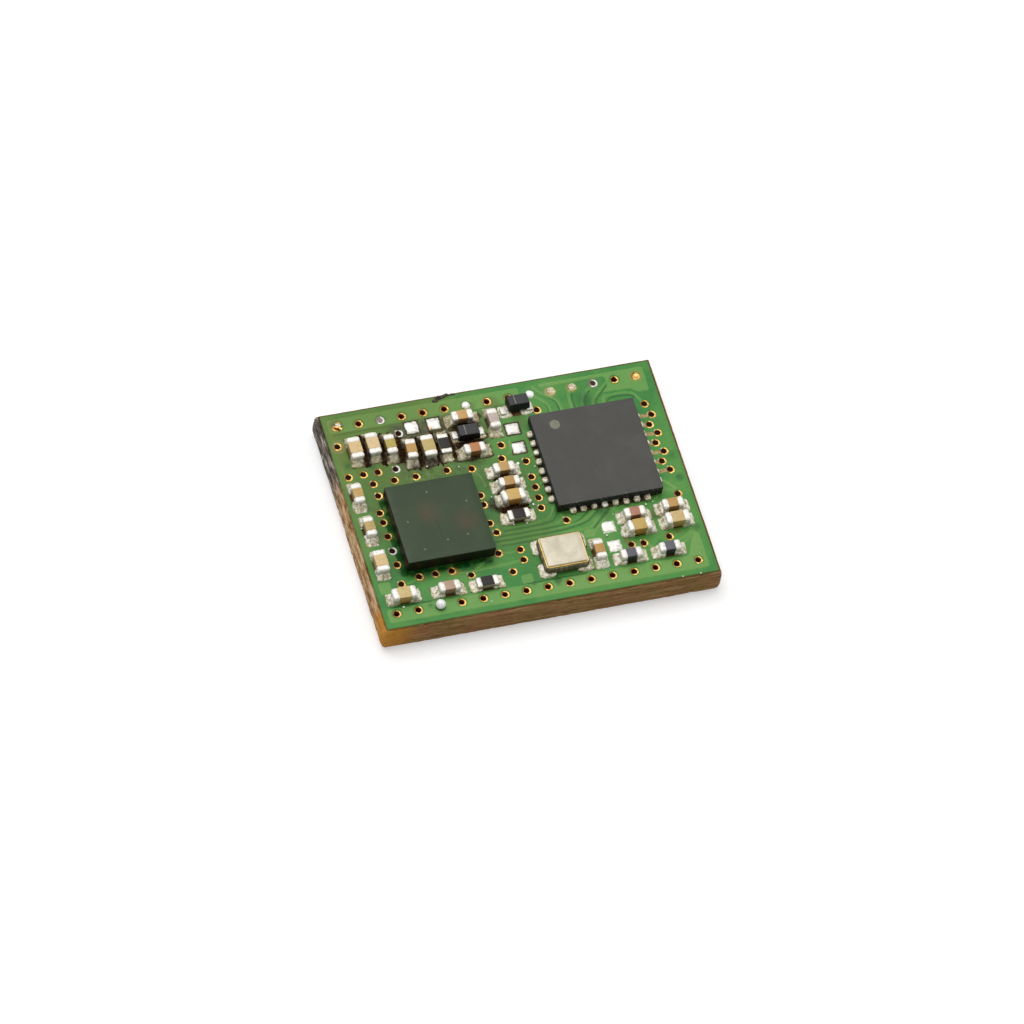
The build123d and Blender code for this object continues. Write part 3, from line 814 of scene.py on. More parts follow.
FANOUT_X = (7.13, 6.89)
FANOUT_FIRST_Y = 2.86
FANOUT_COUNT = 7
INNER_VIAS = (
    (-7.25, 4.00), (-4.37, 4.14), (-7.20, 2.33), (-6.50, 2.35), (-5.83, 2.34), (-5.00, 2.34),
    (-6.20, 1.77), (-5.22, 1.78), (-4.22, 1.78), (-2.77, 1.82), (-1.65, 1.68), (-6.15, 1.12),
    (-6.32, 0.23), (-6.30, -0.28), (-6.30, -1.03), (-6.30, -1.80), (-6.30, -2.54),
    (-6.38, -3.55), (-5.50, -3.33), (-4.75, -3.33), (-4.00, -3.33), (-3.20, -3.70),
    (-1.70, -2.87), (-0.68, -2.87), (-0.68, -3.42), (-1.32, -3.93),
    (-1.65, 0.23), (-1.65, -0.27), (-1.65, -1.27), (-1.48, -1.79),
    (0.00, 2.63), (-0.17, 1.93), (0.87, 1.58), (0.88, 0.73), (0.90, 0.17), (0.88, -0.40),
    (0.85, -0.93), (1.78, -1.79), (2.10, 4.12), (6.98, 3.47), (7.10, -1.45),
    (4.28, -3.62), (4.85, -3.65), (6.07, -3.55),
)
TINNED_VIAS = ((-5.00, 2.34), (-4.37, 4.14), (-6.30, -1.80))
TORN_VIA = -7
BALL_VIA = -5
# Edge vias that aren't gold: place and the first of their two materials, the lit one, which is followed by
# its painted-shade copy
EDGE_FINISHES = {
    (-5, CONTACT_ROW_Y): 2,
    (5, CONTACT_ROW_Y): 2,
    # The ring under the ball takes the dark bore metals: painted shadow of the ball
    (BALL_VIA, -CONTACT_ROW_Y): 4,
    (TORN_VIA, CONTACT_ROW_Y): 4,
}
# Far vias closed by a dome of solder, with its radius, and those that are plugged, with the finish
DOMES = {-1: 0.19, 2: 0.20, 3: 0.17, 4: 0.18}
PLUGS = {-5: 0, 5: 1, 7: 2}

# Traces and the dark gaps between them: width and path
TRACES = (
    (0.12, (-1.15, -1.66), (0.85, -1.66), (1.20, -1.40), (1.42, -0.98)),
    (0.12, (-1.15, -1.92), (1.30, -1.92), (1.62, -1.66), (1.66, -1.35)),
    (0.12, (-1.90, -2.16), (2.30, -2.16), (3.12, -1.52)),
    (0.12, (-1.70, -2.40), (2.55, -2.40), (2.80, -2.35), (3.62, -1.55)),
    (0.12, (2.20, -2.68), (2.75, -2.68), (3.05, -2.45), (4.10, -1.55)),
    (0.16, (-3.80, -3.50), (-1.60, -3.50), (-0.80, -3.42)),
    (0.12, (-1.70, -2.87), (-1.10, -2.95), (-0.70, -2.87)),
    (0.14, (-3.20, -3.70), (-2.60, -3.20), (-1.90, -2.95)),
    (0.12, (2.00, 5.00), (2.45, 4.62), (2.70, 4.30), (2.70, 3.75)),
    (0.12, (2.20, 5.42), (2.45, 5.05), (2.75, 4.78), (3.20, 4.45), (3.22, 3.75)),
    (0.12, (4.00, 5.00), (3.76, 4.72), (3.70, 4.45), (3.70, 3.75)),
    (0.12, (5.00, 5.00), (4.62, 4.72), (4.28, 4.38), (4.18, 3.75)),
    (0.13, (6.00, 5.00), (5.68, 5.00), (5.20, 4.60), (4.72, 4.15), (4.68, 3.75)),
    (0.12, (5.18, 3.75), (5.20, 4.12), (5.35, 4.26), (6.45, 4.26), (6.72, 4.05), (6.80, 3.80), (6.98, 3.55)),
    (0.14, (6.55, -0.55), (6.82, -0.80), (7.10, -1.12), (7.10, -1.40)),
    (0.12, (5.95, -1.50), (6.35, -1.20), (6.80, -1.10), (7.05, -1.38)),
    (0.12, (0.88, 0.73), (1.30, 0.86)),
    (0.12, (0.87, 1.58), (1.25, 1.85)),
    (0.12, (0.90, 0.17), (1.30, 0.36)),
    (0.12, (0.88, -0.40), (1.30, -0.16)),
    (0.12, (0.85, -0.93), (1.35, -0.62)),
    (0.14, (-0.17, 1.93), (0.35, 2.20), (0.45, 2.80)),
    (0.12, (6.20, -3.80), (6.70, -3.78), (7.05, -3.45), (7.45, -3.05)),
    (0.12, (6.60, -4.02), (6.95, -3.75), (7.40, -3.30)),
    (0.14, (4.85, -3.65), (5.30, -3.95), (5.20, -4.30)),
    (0.12, (-6.20, 1.77), (-5.75, 1.95), (-5.22, 1.78)),
    (0.12, (-4.22, 1.78), (-3.60, 2.00), (-2.77, 1.82)),
    (0.13, (-6.38, -3.55), (-5.95, -3.55), (-5.50, -3.33)),
    (0.12, (-1.65, -1.27), (-1.25, -1.45), (-1.48, -1.79)),
    (0.16, (-1.65, 1.68), (-1.30, 1.20), (-1.25, 0.60)),
)
GAPS = (
    (0.08, (-7.3, 4.62), (-5.2, 4.62), (-4.7, 4.55)),
    (0.06, (-7.2, -4.66), (-5.3, -4.66)),
    (0.07, (-0.9, -4.67), (1.0, -4.66), (1.9, -4.66)),
    (0.06, (-1.15, -1.79), (1.05, -1.79), (1.38, -1.52), (1.50, -1.10)),
    (0.06, (-1.60, -2.04), (1.45, -2.04), (2.20, -2.02), (2.86, -1.52)),
    (0.06, (-1.80, -2.28), (2.40, -2.28), (3.36, -1.54)),
    (0.05, (-1.50, -2.53), (0.20, -2.53)),
    (0.06, (2.86, -2.44), (3.86, -1.54)),
    (0.05, (2.22, 4.84), (2.60, 4.42), (2.62, 3.80)),
    (0.05, (2.38, 5.12), (2.66, 4.80), (3.08, 4.42), (3.10, 3.80)),
    (0.05, (3.88, 4.72), (3.82, 4.45), (3.82, 3.80)),
    (0.05, (4.70, 4.66), (4.36, 4.30), (4.30, 3.80)),
    (0.06, (5.60, 4.86), (5.24, 4.48), (4.84, 4.10), (4.80, 3.80)),
    (0.05, (5.34, 3.80), (5.42, 4.12), (6.40, 4.12), (6.66, 3.90)),
)
COPPER_AREAS = (
    ((-7.42, 4.68), (1.52, 4.70), (1.56, 5.46), (-7.42, 5.46)),
    (
        (2.55, 5.26), (5.60, 5.26), (5.60, 4.74), (5.24, 4.44), (6.60, 4.40),
        (6.86, 4.16), (7.42, 4.16), (7.44, 5.46), (2.50, 5.46),
    ),
    (
        (-7.42, -5.44), (7.42, -5.44), (7.44, -3.60), (7.20, -3.50),
        (6.90, -4.10), (6.66, -4.68), (-7.42, -4.70),
    ),
    ((-7.44, -3.95), (-6.90, -3.95), (-6.85, -3.30), (-7.44, -3.30)),
    ((-1.10, -4.64), (-0.52, -4.64), (-0.50, -4.14), (-1.05, -4.18)),
    ((2.30, -2.86), (2.86, -2.86), (2.90, -2.50), (2.40, -2.42)),
)
VIA_CLEARANCE = 0.20
# Patches of painted shade on the mask along the sensor's left and near walls: place and size
SHADE_BLOTS = (
    (-6.12, 0.66, 0.26, 0.36), (-6.07, -0.02, 0.16, 0.50), (-6.12, -0.66, 0.28, 0.40),
    (-6.12, -1.42, 0.28, 0.44), (-6.12, -2.17, 0.26, 0.40), (-6.10, -2.95, 0.36, 0.48),
    (-5.10, -3.12, 0.90, 0.15), (-4.30, -3.13, 0.50, 0.16), (-3.45, -3.16, 0.70, 0.26),
    (-2.60, -3.10, 0.70, 0.20),
)

CHIP_TURNS = {"capacitor_04": 87.0, "diode_2_body": 8.0}
EMPTY_LANDS = ((-3.20, 4.33, 0), (0.73, 2.85, 90), (3.52, -3.03, 90))
MCU_PLACE = (3.92, 1.11)
MCU_SIDE = 4.90
MCU_LEAD_PITCH = 0.50
SENSOR_PLACE = (-3.99, -1.03)
SENSOR_BALL_PITCH = 0.5
CRYSTAL_PLACE = (1.05, -3.57)
CRYSTAL_LENGTH = 2.06
CRYSTAL_PAD = 0.75
CRYSTAL_PAD_PITCH = (1.75, 1.22)

CERAMICS = {
    1: ("ceramic_tan", (222, 192, 138)),
    2: ("ceramic_tan", (226, 198, 148)),
    3: ("ceramic_ochre", (184, 166, 86)),
    4: ("ceramic_ochre", (188, 150, 82)),
    5: ("ceramic_tan", (194, 172, 110)),
    6: ("ceramic_ochre", (202, 160, 98)),
    7: ("ceramic_brown", (184, 126, 80)),
    8: ("ceramic_mauve", (196, 178, 170)),
    9: ("ceramic_ochre", (196, 162, 98)),
    10: ("ceramic_ochre", (190, 164, 100)),
    11: ("ceramic_tan", (222, 192, 138)),
    12: ("ceramic_ochre", (192, 156, 96)),
    13: ("ceramic_ochre", (184, 146, 86)),
    14: ("ceramic_ochre", (208, 172, 98)),
    15: ("ceramic_tan", (210, 186, 126)),
    16: ("ceramic_brown", (184, 154, 128)),
    17: ("ceramic_ochre", (186, 144, 78)),
    18: ("ceramic_brown", (174, 122, 100)),
    19: ("ceramic_ochre", (198, 166, 92)),
    20: ("ceramic_ochre", (192, 150, 88)),
    21: ("ceramic_tan", (206, 180, 122)),
}
# Capacitors whose near side keeps clear amber flux; on the others it is dark brown, for darkened flux and
# painted shade
AMBER_SIDED = {14, 15, 19, 21}
# Capacitors whose ends solder has run over
OVERRUN = {13, 14, 19}
# Joints that stand high and broad: capacitor, end and how much more they hold
BULKY_JOINTS = {(14, -1): 1.25, (14, 1): 1.2, (13, -1): 1.1, (12, -1): 1.1, (19, -1): 1.15, (21, -1): 1.1}

gold = metal_material("gold_plate", (150, 104, 50), (236, 196, 118), (0.28, 0.46))
# Copies of gold and tin in painted shade, for the shaded side of via rings
gold_painted_shade = metal_material("gold_painted_shade", (92, 70, 28), (170, 126, 62), (0.40, 0.56), 0.5)
tin_painted_shade = metal_material("tin_painted_shade", (96, 88, 72), (156, 150, 134), (0.40, 0.56), 0.4, 0.012)
seal_gold = metal_material("seal_gold", (206, 174, 92), (226, 198, 122), (0.34, 0.46), 0.8, 0.004)
tin = metal_material("tin_plate", (196, 193, 184), (230, 228, 220), (0.40, 0.56), 0.4, 0.012)
end_tin = end_material()
tin_pillow = pillow_material()
copper_stub = metal_material("copper_stub", (120, 96, 52), (168, 150, 96), (0.35, 0.5), 0.2)
solder = solder_material()
laminate = laminate_material()
char = char_material("burnt_flux", (20, 16, 9), (58, 46, 28), (128, 110, 78))
ash = char_material("edge_soot", (48, 44, 38), (84, 78, 68), (128, 120, 106))
# Dark residue with painted shade, laid in the gaps between chips
residue = char_material("dark_residue_and_shade", (20, 11, 3), (44, 28, 11), (86, 62, 32), 0.04)
FLUX_SHADES = ((0.34, (30, 26, 10)), (0.55, (66, 58, 26)), (0.74, (98, 98, 46)))
flux = mottled("amber_flux", (6.0, 4, 0.8), FLUX_SHADES, (0.4, 0.6), 0.02, specular=0.2)
# Near-black bore: painted shade on the floor of the shallow inner vias and on the shaded side of rings in the
# dark bore metal
bore = bore_material("via_bore", (16, 6, 3), (48, 22, 8))
deep_bore = bore_material("deep_via_bore", (70, 28, 8), (140, 66, 22))
mcu_skin = mcu_material()
sensor_skin = sensor_material()
crystal_ceramic = crystal_ceramic_material()
crystal_lid = crystal_lid_material()
alumina = ceramic_material("alumina", (206, 198, 178))
quartz = ceramic_material("quartz", (220, 224, 226))
black_moulding = black_material("black_moulding", (62, 61, 63), 0.25)
resistor_coat = black_material("resistor_coat", (40, 38, 34), 0.25)
ferrite_grey = black_material("ferrite_grey", (92, 92, 100))
# Painted highlights beside the via rings
pale_glint = metal_material("pale_glint", (150, 152, 98), (212, 208, 168), (0.5, 0.7), 0.0, 0.01)
plug_grey = metal_material("plug_grey", (84, 66, 60), (170, 148, 144), (0.5, 0.7), 0.0, 0.01)
ball_tin = metal_material("ball_tin", (232, 232, 230), (252, 252, 250), (0.30, 0.44), 0.1, 0.01)
pale_band = metal_material("pale_band", (96, 94, 90), (150, 148, 142), (0.5, 0.7), 0.0, 0.004)


def fanout_vias():
    return [(FANOUT_X[i % 2], FANOUT_FIRST_Y - i * MCU_LEAD_PITCH) for i in range(FANOUT_COUNT)]


def edge_vias():
    return [(n, y) for y in (CONTACT_ROW_Y, -CONTACT_ROW_Y) for n in CONTACT_NUMBERS]


def inner_vias():
    return list(INNER_VIAS) + fanout_vias()


def all_vias():
    return edge_vias() + inner_vias()


def bare_lands():
    """Each land that carries no chip: place, turn and a seed."""
    lands = []
    for x, y, turn in EMPTY_LANDS:
        for side in (-1, 1):
            off = turned(side * LAND_PITCH / 2, 0, turn)
            lands.append((x + off.x, y + off.y, turn, x * 3 + side))
    return lands


class Chip:
    """Where a chip stands and its size, read from its CAD body."""

    def __init__(self, node, trim=0.0):
        low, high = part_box(node)
        low, high = low / MM, high / MM
        centre = (low + high) / 2
        self.x, self.y = centre.x - GRID_X, centre.y
        span_x, span_y = high.x - low.x, high.y - low.y
        self.turn = CHIP_TURNS.get(node, 0.0 if span_x > span_y else 90.0)
        angle = math.radians(self.turn)
        c, s = abs(math.cos(angle)), abs(math.sin(angle))
        scale = c * c - s * s
        self.length = (span_x * c - span_y * s) / scale + 2 * trim
        self.width = (span_y * c - span_x * s) / scale + 2 * trim
        self.height = high.z - CHIP_SEAT + trim

    def frame(self, z=CHIP_SEAT, along=0.0, flip=0.0, tilt=(0.0, 0.0)):
        """A frame on the chip's axis, along from its middle, flip degrees round."""
        return standing(self.x, self.y, z, self.turn + flip, tilt) @ moved(along)


BODY_TRIM = 0.02
capacitors = {n: Chip(f"capacitor_{n:02d}", BODY_TRIM) for n in CERAMICS}
ferrites = {n: Chip(f"ferrite_bead_{n}", BODY_TRIM) for n in (1, 2)}
resistors = {n: Chip(f"resistor_{n}_substrate", BODY_TRIM) for n in (1, 2, 3)}
diodes = {n: Chip(f"diode_{n}_body") for n in (1, 2)}
# The second diode's lands lie square to the board, and its body has slipped and turned on them
diodes[2].x -= 0.04
diodes[2].y -= 0.10
diodes[2].turn = 0.0
DIODE_TILTS = {1: (0.0, 0.0), 2: (-7.0, 1.0)}
DIODE_TURNS = {1: 0.0, 2: 1.0}
DIODE_SLIPS = {1: (0.0, 0.0, 0.0), 2: (0.12, 0.18, 0.06)}
two_land_chips = [*capacitors.values(), *ferrites.values(), *resistors.values(), *diodes.values()]


# Board


def edge_inset(share):
    for (a, inset_a), (b, inset_b) in zip(EDGE_STEPS, EDGE_STEPS[1:]):
        if share <= b:
            return inset_a + (inset_b - inset_a) * (share - a) / (b - a)
    return EDGE_STEPS[-1][1]


def make_laminate():
    """The board's core with its rough cut side, drawn in only, so it stays in the CAD box."""
    shape = Shape()
    rows = 26
    cuts = (260, 200)
    rings = []
    for row in range(rows + 1):
        share = row / rows
        z = LAMINATE_TOP - share * (LAMINATE_TOP - LAMINATE_BOTTOM)
        calm = min(1.0, 4 * share, 4 * (1 - share) + 0.35)
        ring = []
        for p, out in board_loop(edge_inset(share), cuts):
            layer = bumps(p.x, p.y, 0.9, z * 7.0)
            fibre = bumps(p.x, p.y, 3.2, z * 21.0)
            chip = bumps(p.x, p.y, 5.0, z * 3.0 + 9.0)
            swell = bumps(p.x, p.y, 0.45, 5.0)
            depth = calm * (0.020 + 0.022 * layer + 0.026 * fibre + 0.014 * swell)
            depth += (0.25 + 0.75 * calm) * 0.07 * max(0.0, chip - 0.18)
            ring.append(p - out * max(0.0, depth) + at(0, 0, z))
        rings.append(ring)
    shape.add(([p for ring in rings for p in ring], quads(rows + 1, len(rings[0]), closed=True)))
    bores = [circle(x, y, WINDOW_RADIUS) for x, y in edge_vias()]
    shape.add(flat_fill([rings[0]] + bores, LAMINATE_TOP))
    shape.add(flat_fill([rings[-1]] + bores, LAMINATE_BOTTOM, flip=True))
    for loop in bores:
        wall = [p + at(0, 0, z) for z in (LAMINATE_BOTTOM, LAMINATE_TOP) for p in loop]
        shape.add((wall, quads(2, len(loop), closed=True)))
    make_piece("laminate_core", shape, [laminate], ["board_laminate"], 60)


def make_mask():
    """The upper mask, open round each via and footprint."""
    holes = [circle(x, y, WINDOW_RADIUS) for x, y in all_vias()]
    for chip in two_land_chips:
        holes.append(window(chip.x, chip.y, LAND_PITCH + LAND_LENGTH, LAND_WIDTH, chip.turn))
    for x, y, turn, seed in bare_lands():
        holes.append(window(x, y, LAND_LENGTH, LAND_WIDTH, turn))
    run = 7.5 * MCU_LEAD_PITCH
    depth = 0.58
    for side in range(4):
        off = turned(MCU_SIDE / 2 + 0.18 - depth / 2, 0, 90 * side)
        holes.append(window(MCU_PLACE[0] + off.x, MCU_PLACE[1] + off.y, depth, run, 90 * side))
    for sx in (-1, 1):
        for sy in (-1, 1):
            x = CRYSTAL_PLACE[0] + sx * CRYSTAL_PAD_PITCH[0] / 2
            y = CRYSTAL_PLACE[1] + sy * CRYSTAL_PAD_PITCH[1] / 2
            holes.append(window(x, y, CRYSTAL_PAD, CRYSTAL_PAD))
    shape = plate(board_loop(MASK_INSET), holes, LAMINATE_TOP, BOARD_TOP, 0.012)
    make_piece("mask_upper", shape, [mask_green], ["solder_mask_top"], 50)


def soft_outline(corners, radius=0.14):
    """A polygon's outline with rounded corners and outward directions, counter-clockwise."""
    loop = []
    count = len(corners)
    for i in range(count):
        before, here, after = (Vector(corners[(i + k) % count]) for k in (-1, 0, 1))
        cut = min(radius, 0.4 * (before - here).length, 0.4 * (after - here).length)
        start = here + (before - here).normalized() * cut
        end = here + (after - here).normalized() * cut
        for step in range(5):
            t = step / 4
            loop.append(start * (1 - t) ** 2 + here * 2 * t * (1 - t) + end * t * t)
    area = sum(a.x * b.y - b.x * a.y for a, b in zip(loop, loop[1:] + loop[:1]))
    if area < 0:
        loop.reverse()
    outline = []
    for i, p in enumerate(loop):
        along = (loop[(i + 1) % len(loop)] - loop[i - 1]).normalized()
        outline.append((on_grid(p.x, p.y), at(along.y, -along.x)))
    return outline


def make_copper_areas():
    """Mask over the wide copper areas, with clear rounds about the vias inside them."""
    shape = Shape()
    for corners in COPPER_AREAS:
        outline = soft_outline(corners)
        around = [p for p, out in outline]
        holes = [circle(x, y, 0.25) for x, y in all_vias() if encloses(around, x + GRID_X, y)]
        area = plate(outline, holes, BOARD_TOP - 0.002, BOARD_TOP + 0.010, 0.035)
        shape.add((area.points, area.faces))
    make_piece("mask_over_copper", shape, [mask_pour])


def clear_of_vias(path):
    """Cuts a path back to the rims of the vias at its two ends."""
    for _ in range(2):
        for x, y in all_vias():
            if math.hypot(path[0][0] - x, path[0][1] - y) > VIA_CLEARANCE:
                continue
            while len(path) > 2 and math.hypot(path[1][0] - x, path[1][1] - y) < VIA_CLEARANCE:
                path = path[1:]
            (ax, ay), (bx, by) = path[:2]
            near, far = math.hypot(ax - x, ay - y), math.hypot(bx - x, by - y)
            share = min(0.95, max(0.0, (VIA_CLEARANCE - near) / max(far - near, 0.01)))
            path = [(ax + (bx - ax) * share, ay + (by - ay) * share)] + path[1:]
        path = path[::-1]
    return path


def make_traces():
    """Mask that stands a little higher over the copper traces, and dark lines between them."""
    raised, dark = Shape(), Shape()
    for width, *path in TRACES:
        raised.add(ribbon(clear_of_vias(smooth_path(path)), width * 0.75, 0.020, BOARD_TOP - 0.002))
    make_piece("mask_over_traces", raised, [mask_trace])
    for width, *path in GAPS:
        dark.add(ribbon(smooth_path(path), width, 0.004, BOARD_TOP - 0.001))
    make_piece("mask_gaps", dark, [mask_gap])


def make_shade_blots():
    """Patches of painted shade on the mask beside the sensor."""
    shape = Shape()
    for k, (x, y, length, width) in enumerate(SHADE_BLOTS):
        blot = mound(length, width, lambda px, py: 0.006, (12, 12), 0.08, 0.05, k * 2.3, 0.06)
        shape.add(blot, standing(x, y, BOARD_TOP - 0.001))
    make_piece("mask_shade_blots", shape, [mask_painted_shade])


# The bores are drilled a little off their rings, and each ring is painted lit on one side and painted with
# shade on the other
DRILL_DRIFT = at(-0.016, 0.010)
PAINTED_LIT_SIDE = math.radians(-25)
VIA_METALS_LIT_AND_SHADED = [gold, gold_painted_shade, tin, tin_painted_shade, deep_bore, bore]


def via_ring(shape, x, y, seed, index=0, deep=True):
    """A plated ring, bright a little way down its bore and dark below; a shallow bore ends in a floor of
    painted shade. Index is its lit metal; its side of painted shade takes the next one."""
    bright_end = BOARD_TOP - 0.07
    sides = 24
    profile = (
        (BORE_RADIUS - 0.004, bright_end),
        (BORE_RADIUS, BOARD_TOP - 0.012),
        (BORE_RADIUS + 0.008, BOARD_TOP + 0.004),
        (BORE_RADIUS + 0.026, BOARD_TOP + 0.014),
        (0.172, BOARD_TOP + 0.016),
        (RING_RADIUS - 0.014, BOARD_TOP + 0.010),
        (RING_RADIUS, BOARD_TOP - 0.004),
    )
    where = Matrix.Translation(on_grid(x, y))
    points, faces = lathe(profile, sides, 0.05, seed)
    for p in points:
        outward = (math.hypot(p.x, p.y) - BORE_RADIUS) / (RING_RADIUS - BORE_RADIUS)
        p += DRILL_DRIFT * (1 - min(1.0, max(0.0, outward)))
    # How far round each ring the painted shade reaches
    shade_reach = 0.55 * noise.noise(at(seed * 1.37, 0.5)) - 0.25
    shades = []
    for k in range(len(faces)):
        angle = math.tau * (k % sides + 0.5) / sides
        shades.append(index if math.cos(angle - PAINTED_LIT_SIDE) > shade_reach else index + 1)
    shape.add((points, faces), where, shades)
    # A shallow bore ends in a near-black floor: painted shade for a deep hole
    floor = (LAMINATE_BOTTOM if deep else LAMINATE_TOP + 0.001) + 0.001
    barrel = ((0.0005, floor), (BORE_RADIUS, floor), (BORE_RADIUS - 0.004, bright_end))
    points, faces = lathe(barrel if deep else barrel[:2], sides, 0.05, seed)
    shape.add(([p + DRILL_DRIFT for p in points], faces), where, 4 if deep else 5)


def make_vias():
    edge, inner = Shape(), Shape()
    for k, (x, y) in enumerate(edge_vias()):
        via_ring(edge, x, y, k, EDGE_FINISHES.get((x, y), 0))
    for k, (x, y) in enumerate(inner_vias()):
        via_ring(inner, x, y, k + 40, 2 if (x, y) in TINNED_VIAS else 0, deep=False)
    make_piece("edge_via_rings", edge, VIA_METALS_LIT_AND_SHADED, ["edge_via_plating"], 60)
    make_piece("inner_via_rings", inner, VIA_METALS_LIT_AND_SHADED, ["inner_via_plating"], 60)


def make_via_solder():
    """Solder domes and plugs in the far vias that are closed, and a ball on a near one."""
    shape, plugs = Shape(), Shape()
    for n, dome in DOMES.items():
        skin = rough(0.10, 0.02, 9, n)
        form = mound(2 * dome, 2 * dome, skin, (12, 12), dome, dome * 0.9, n)
        shape.add(form, Matrix.Translation(on_grid(n, CONTACT_ROW_Y, BOARD_TOP)), 1 if n in (3, 4) else 0)
    ball = 0.228
    angles = [math.radians(-60 + 10 * step) for step in range(15)]
    profile = [(ball * math.cos(a), ball * math.sin(a)) for a in angles] + [(0.0005, ball)]
    where = Matrix.Translation(on_grid(BALL_VIA, -CONTACT_ROW_Y, BOARD_TOP + 0.16))
    shape.add(lathe(profile, 28, 0.01, 3), where)
    make_piece("via_solder_domes", shape, [ball_tin, solder], ["via_solder"])
    radius = BORE_RADIUS * 0.96
    for n, index in PLUGS.items():
        points, faces = lathe(((radius, 0.0), (radius * 0.7, -0.012), (0.0005, -0.02)), 20, 0.05, n)
        where = Matrix.Translation(on_grid(n, CONTACT_ROW_Y, BOARD_TOP - 0.012) + DRILL_DRIFT)
        plugs.add((points, [face[::-1] for face in faces]), where, index)
    make_piece("via_plugs", plugs, [plug_grey, char, gold])


def make_torn_via():
    """Strips of torn plating across the first via of the far row."""
    shape = Shape()
    strips = (
        ((-0.19, 0.07), (-0.06, 0.06), (0.10, -0.02), (0.20, -0.12), 0.055, 0),
        ((-0.20, 0.02), (-0.17, -0.10), (-0.08, -0.17), (-0.02, -0.18), 0.03, 0),
        ((-0.06, 0.19), (0.05, 0.15), (0.13, 0.10), (0.16, 0.04), 0.045, 1),
        ((0.02, 0.24), (0.09, 0.25), (0.12, 0.20), (0.11, 0.17), 0.03, 0),
    )
    for *places, width, index in strips:
        path = smooth_path([(TORN_VIA + x, CONTACT_ROW_Y + y) for x, y in places])
        points, faces = ribbon(path, width, 0.03, BOARD_TOP + 0.012)
        shape.add(([p + at(0, 0, 0.02 * noise.noise(p * 11)) for p in points], faces), index=index)
    make_piece("torn_plating", shape, [gold, tin])


def make_via_glints():
    """Pale dabs on the far left of about half of the inner rings: painted highlights."""
    shape = Shape()
    chooser = random.Random(4)
    for x, y in inner_vias():
        if chooser.random() < 0.5:
            angle = math.radians(chooser.uniform(118, 150))
            off = polar(chooser.uniform(0.175, 0.200), angle)
            where = standing(x + off.x, y + off.y, BOARD_TOP - 0.004, math.degrees(angle) + 90)
            shape.add(pebble(0.13, 0.06, 0.024, 0.02, 5, 0.006, 12, x), where)
    make_piece("via_glint_dabs", shape, [pale_glint])


# Chips and joints


def joint_height(end, reach, wick, toe, seed, half_body):
    """How high a joint stands at each place: it climbs the chip's end and runs out to a toe."""

    def height(x, y):
        lump = 0.035 * bumps(x, y, 7, seed) + 0.018 * bumps(x, y, 19, seed)
        if x <= end:
            beside = max(0.0, abs(y) - half_body)
            return max(0.05, wick * (0.75 - beside * 2.0)) + lump
        share = (x - end) / max(reach - end, 0.02)
        sag = 1 - 0.35 * (2 * y / LAND_WIDTH) ** 2
        return toe + (wick * sag - toe) * (1 - min(1.0, share)) ** 1.7 + lump

    return height


def make_joints():
    """The joints of the two-land chips."""
    chooser = random.Random(11)
    groups = (
        ("capacitor_joints", ["capacitor_solder"], [*capacitors.items(), *ferrites.items()], 0.34),
        ("resistor_joints", ["resistor_solder"], [*resistors.items()], 0.22),
        ("diode_joints", ["diode_solder"], [*diodes.items()], 0.08),
    )
    for name, nodes, chips, climb in groups:
        shape = Shape()
        for number, chip in chips:
            for side in (-1, 1):
                seed = chooser.uniform(0, 50)
                bulk = BULKY_JOINTS.get((number, side), 1.0) if chip in capacitors.values() else 1.0
                wick = min(0.44, climb * chooser.uniform(0.75, 1.1) * bulk)
                toe = chooser.uniform(0.05, 0.11) * bulk ** 3
                end = chip.length / 2 - LAND_PITCH / 2
                height = joint_height(end, LAND_LENGTH / 2, wick, toe, seed, chip.width / 2)
                form = mound(LAND_LENGTH + 0.04, LAND_WIDTH + 0.05, height, (16, 12), 0.06, 0.10, seed, 0.05)
                where = chip.frame(JOINT_BASE, flip=0 if side > 0 else 180)
                shape.add(form, where @ moved(LAND_PITCH / 2))
        make_piece(name, shape, [solder], nodes)


def make_bare_lands():
    """Bright pillows of solder on the lands that carry no chip."""
    shape = Shape()
    for x, y, turn, seed in bare_lands():
        skin = rough(0.085, 0.015, 5, seed)
        form = mound(LAND_LENGTH + 0.01, LAND_WIDTH + 0.02, skin, (16, 16), 0.10, 0.20, seed, 0.04)
        shape.add(form, standing(x, y, JOINT_BASE, turn))
    make_piece("bare_land_pillows", shape, [tin_pillow], ["bare_land_solder"])


def add_ends(shape, chip, long, seed=0, lumps=0.010, radius=0.11):
    """Rounded metal ends."""
    for side in (-1, 1):
        end = pebble(long, chip.width, chip.height, radius, 9, lumps, 8, seed + side)
        shape.add(end, chip.frame(along=side * (chip.length - long) / 2))


def make_ceramic(name, node, chip, number, skin, radius):
    """A ceramic body, just inside its metal ends."""
    body = Shape()
    size = (chip.length - 2 * END_LENGTH + 0.08, chip.width - 0.030, chip.height - 0.026)
    body.add(pebble(*size, radius, 5, 0.004, 7, number), chip.frame(CHIP_SEAT + 0.008))
    make_piece(name, body, [skin], [node], 42)


def make_capacitors():
    ends = Shape()
    for number, chip in capacitors.items():
        slot, shade = CERAMICS[number]
        # Side colour: flux, with painted shade
        stain = (158, 104, 30) if number in AMBER_SIDED else (72, 44, 16)
        skin = ceramic_material(f"ceramic_{number:02d}", shade, stain)
        node = f"capacitor_{number:02d}"
        make_ceramic(f"capacitor_body_{number:02d}", node, chip, number, skin, 0.028)
        lumps, radius = (0.035, 0.13) if number in OVERRUN else (0.010, 0.11)
        add_ends(ends, chip, END_LENGTH, number * 2.3, lumps, radius)
    for number, chip in ferrites.items():
        node = f"ferrite_bead_{number}"
        make_ceramic(f"ferrite_body_{number}", node, chip, number, ferrite_grey, 0.05)
        add_ends(ends, chip, END_LENGTH, 60 + number * 2.3)
    make_piece("chip_terminations", ends, [end_tin], ["capacitor_terminations"])


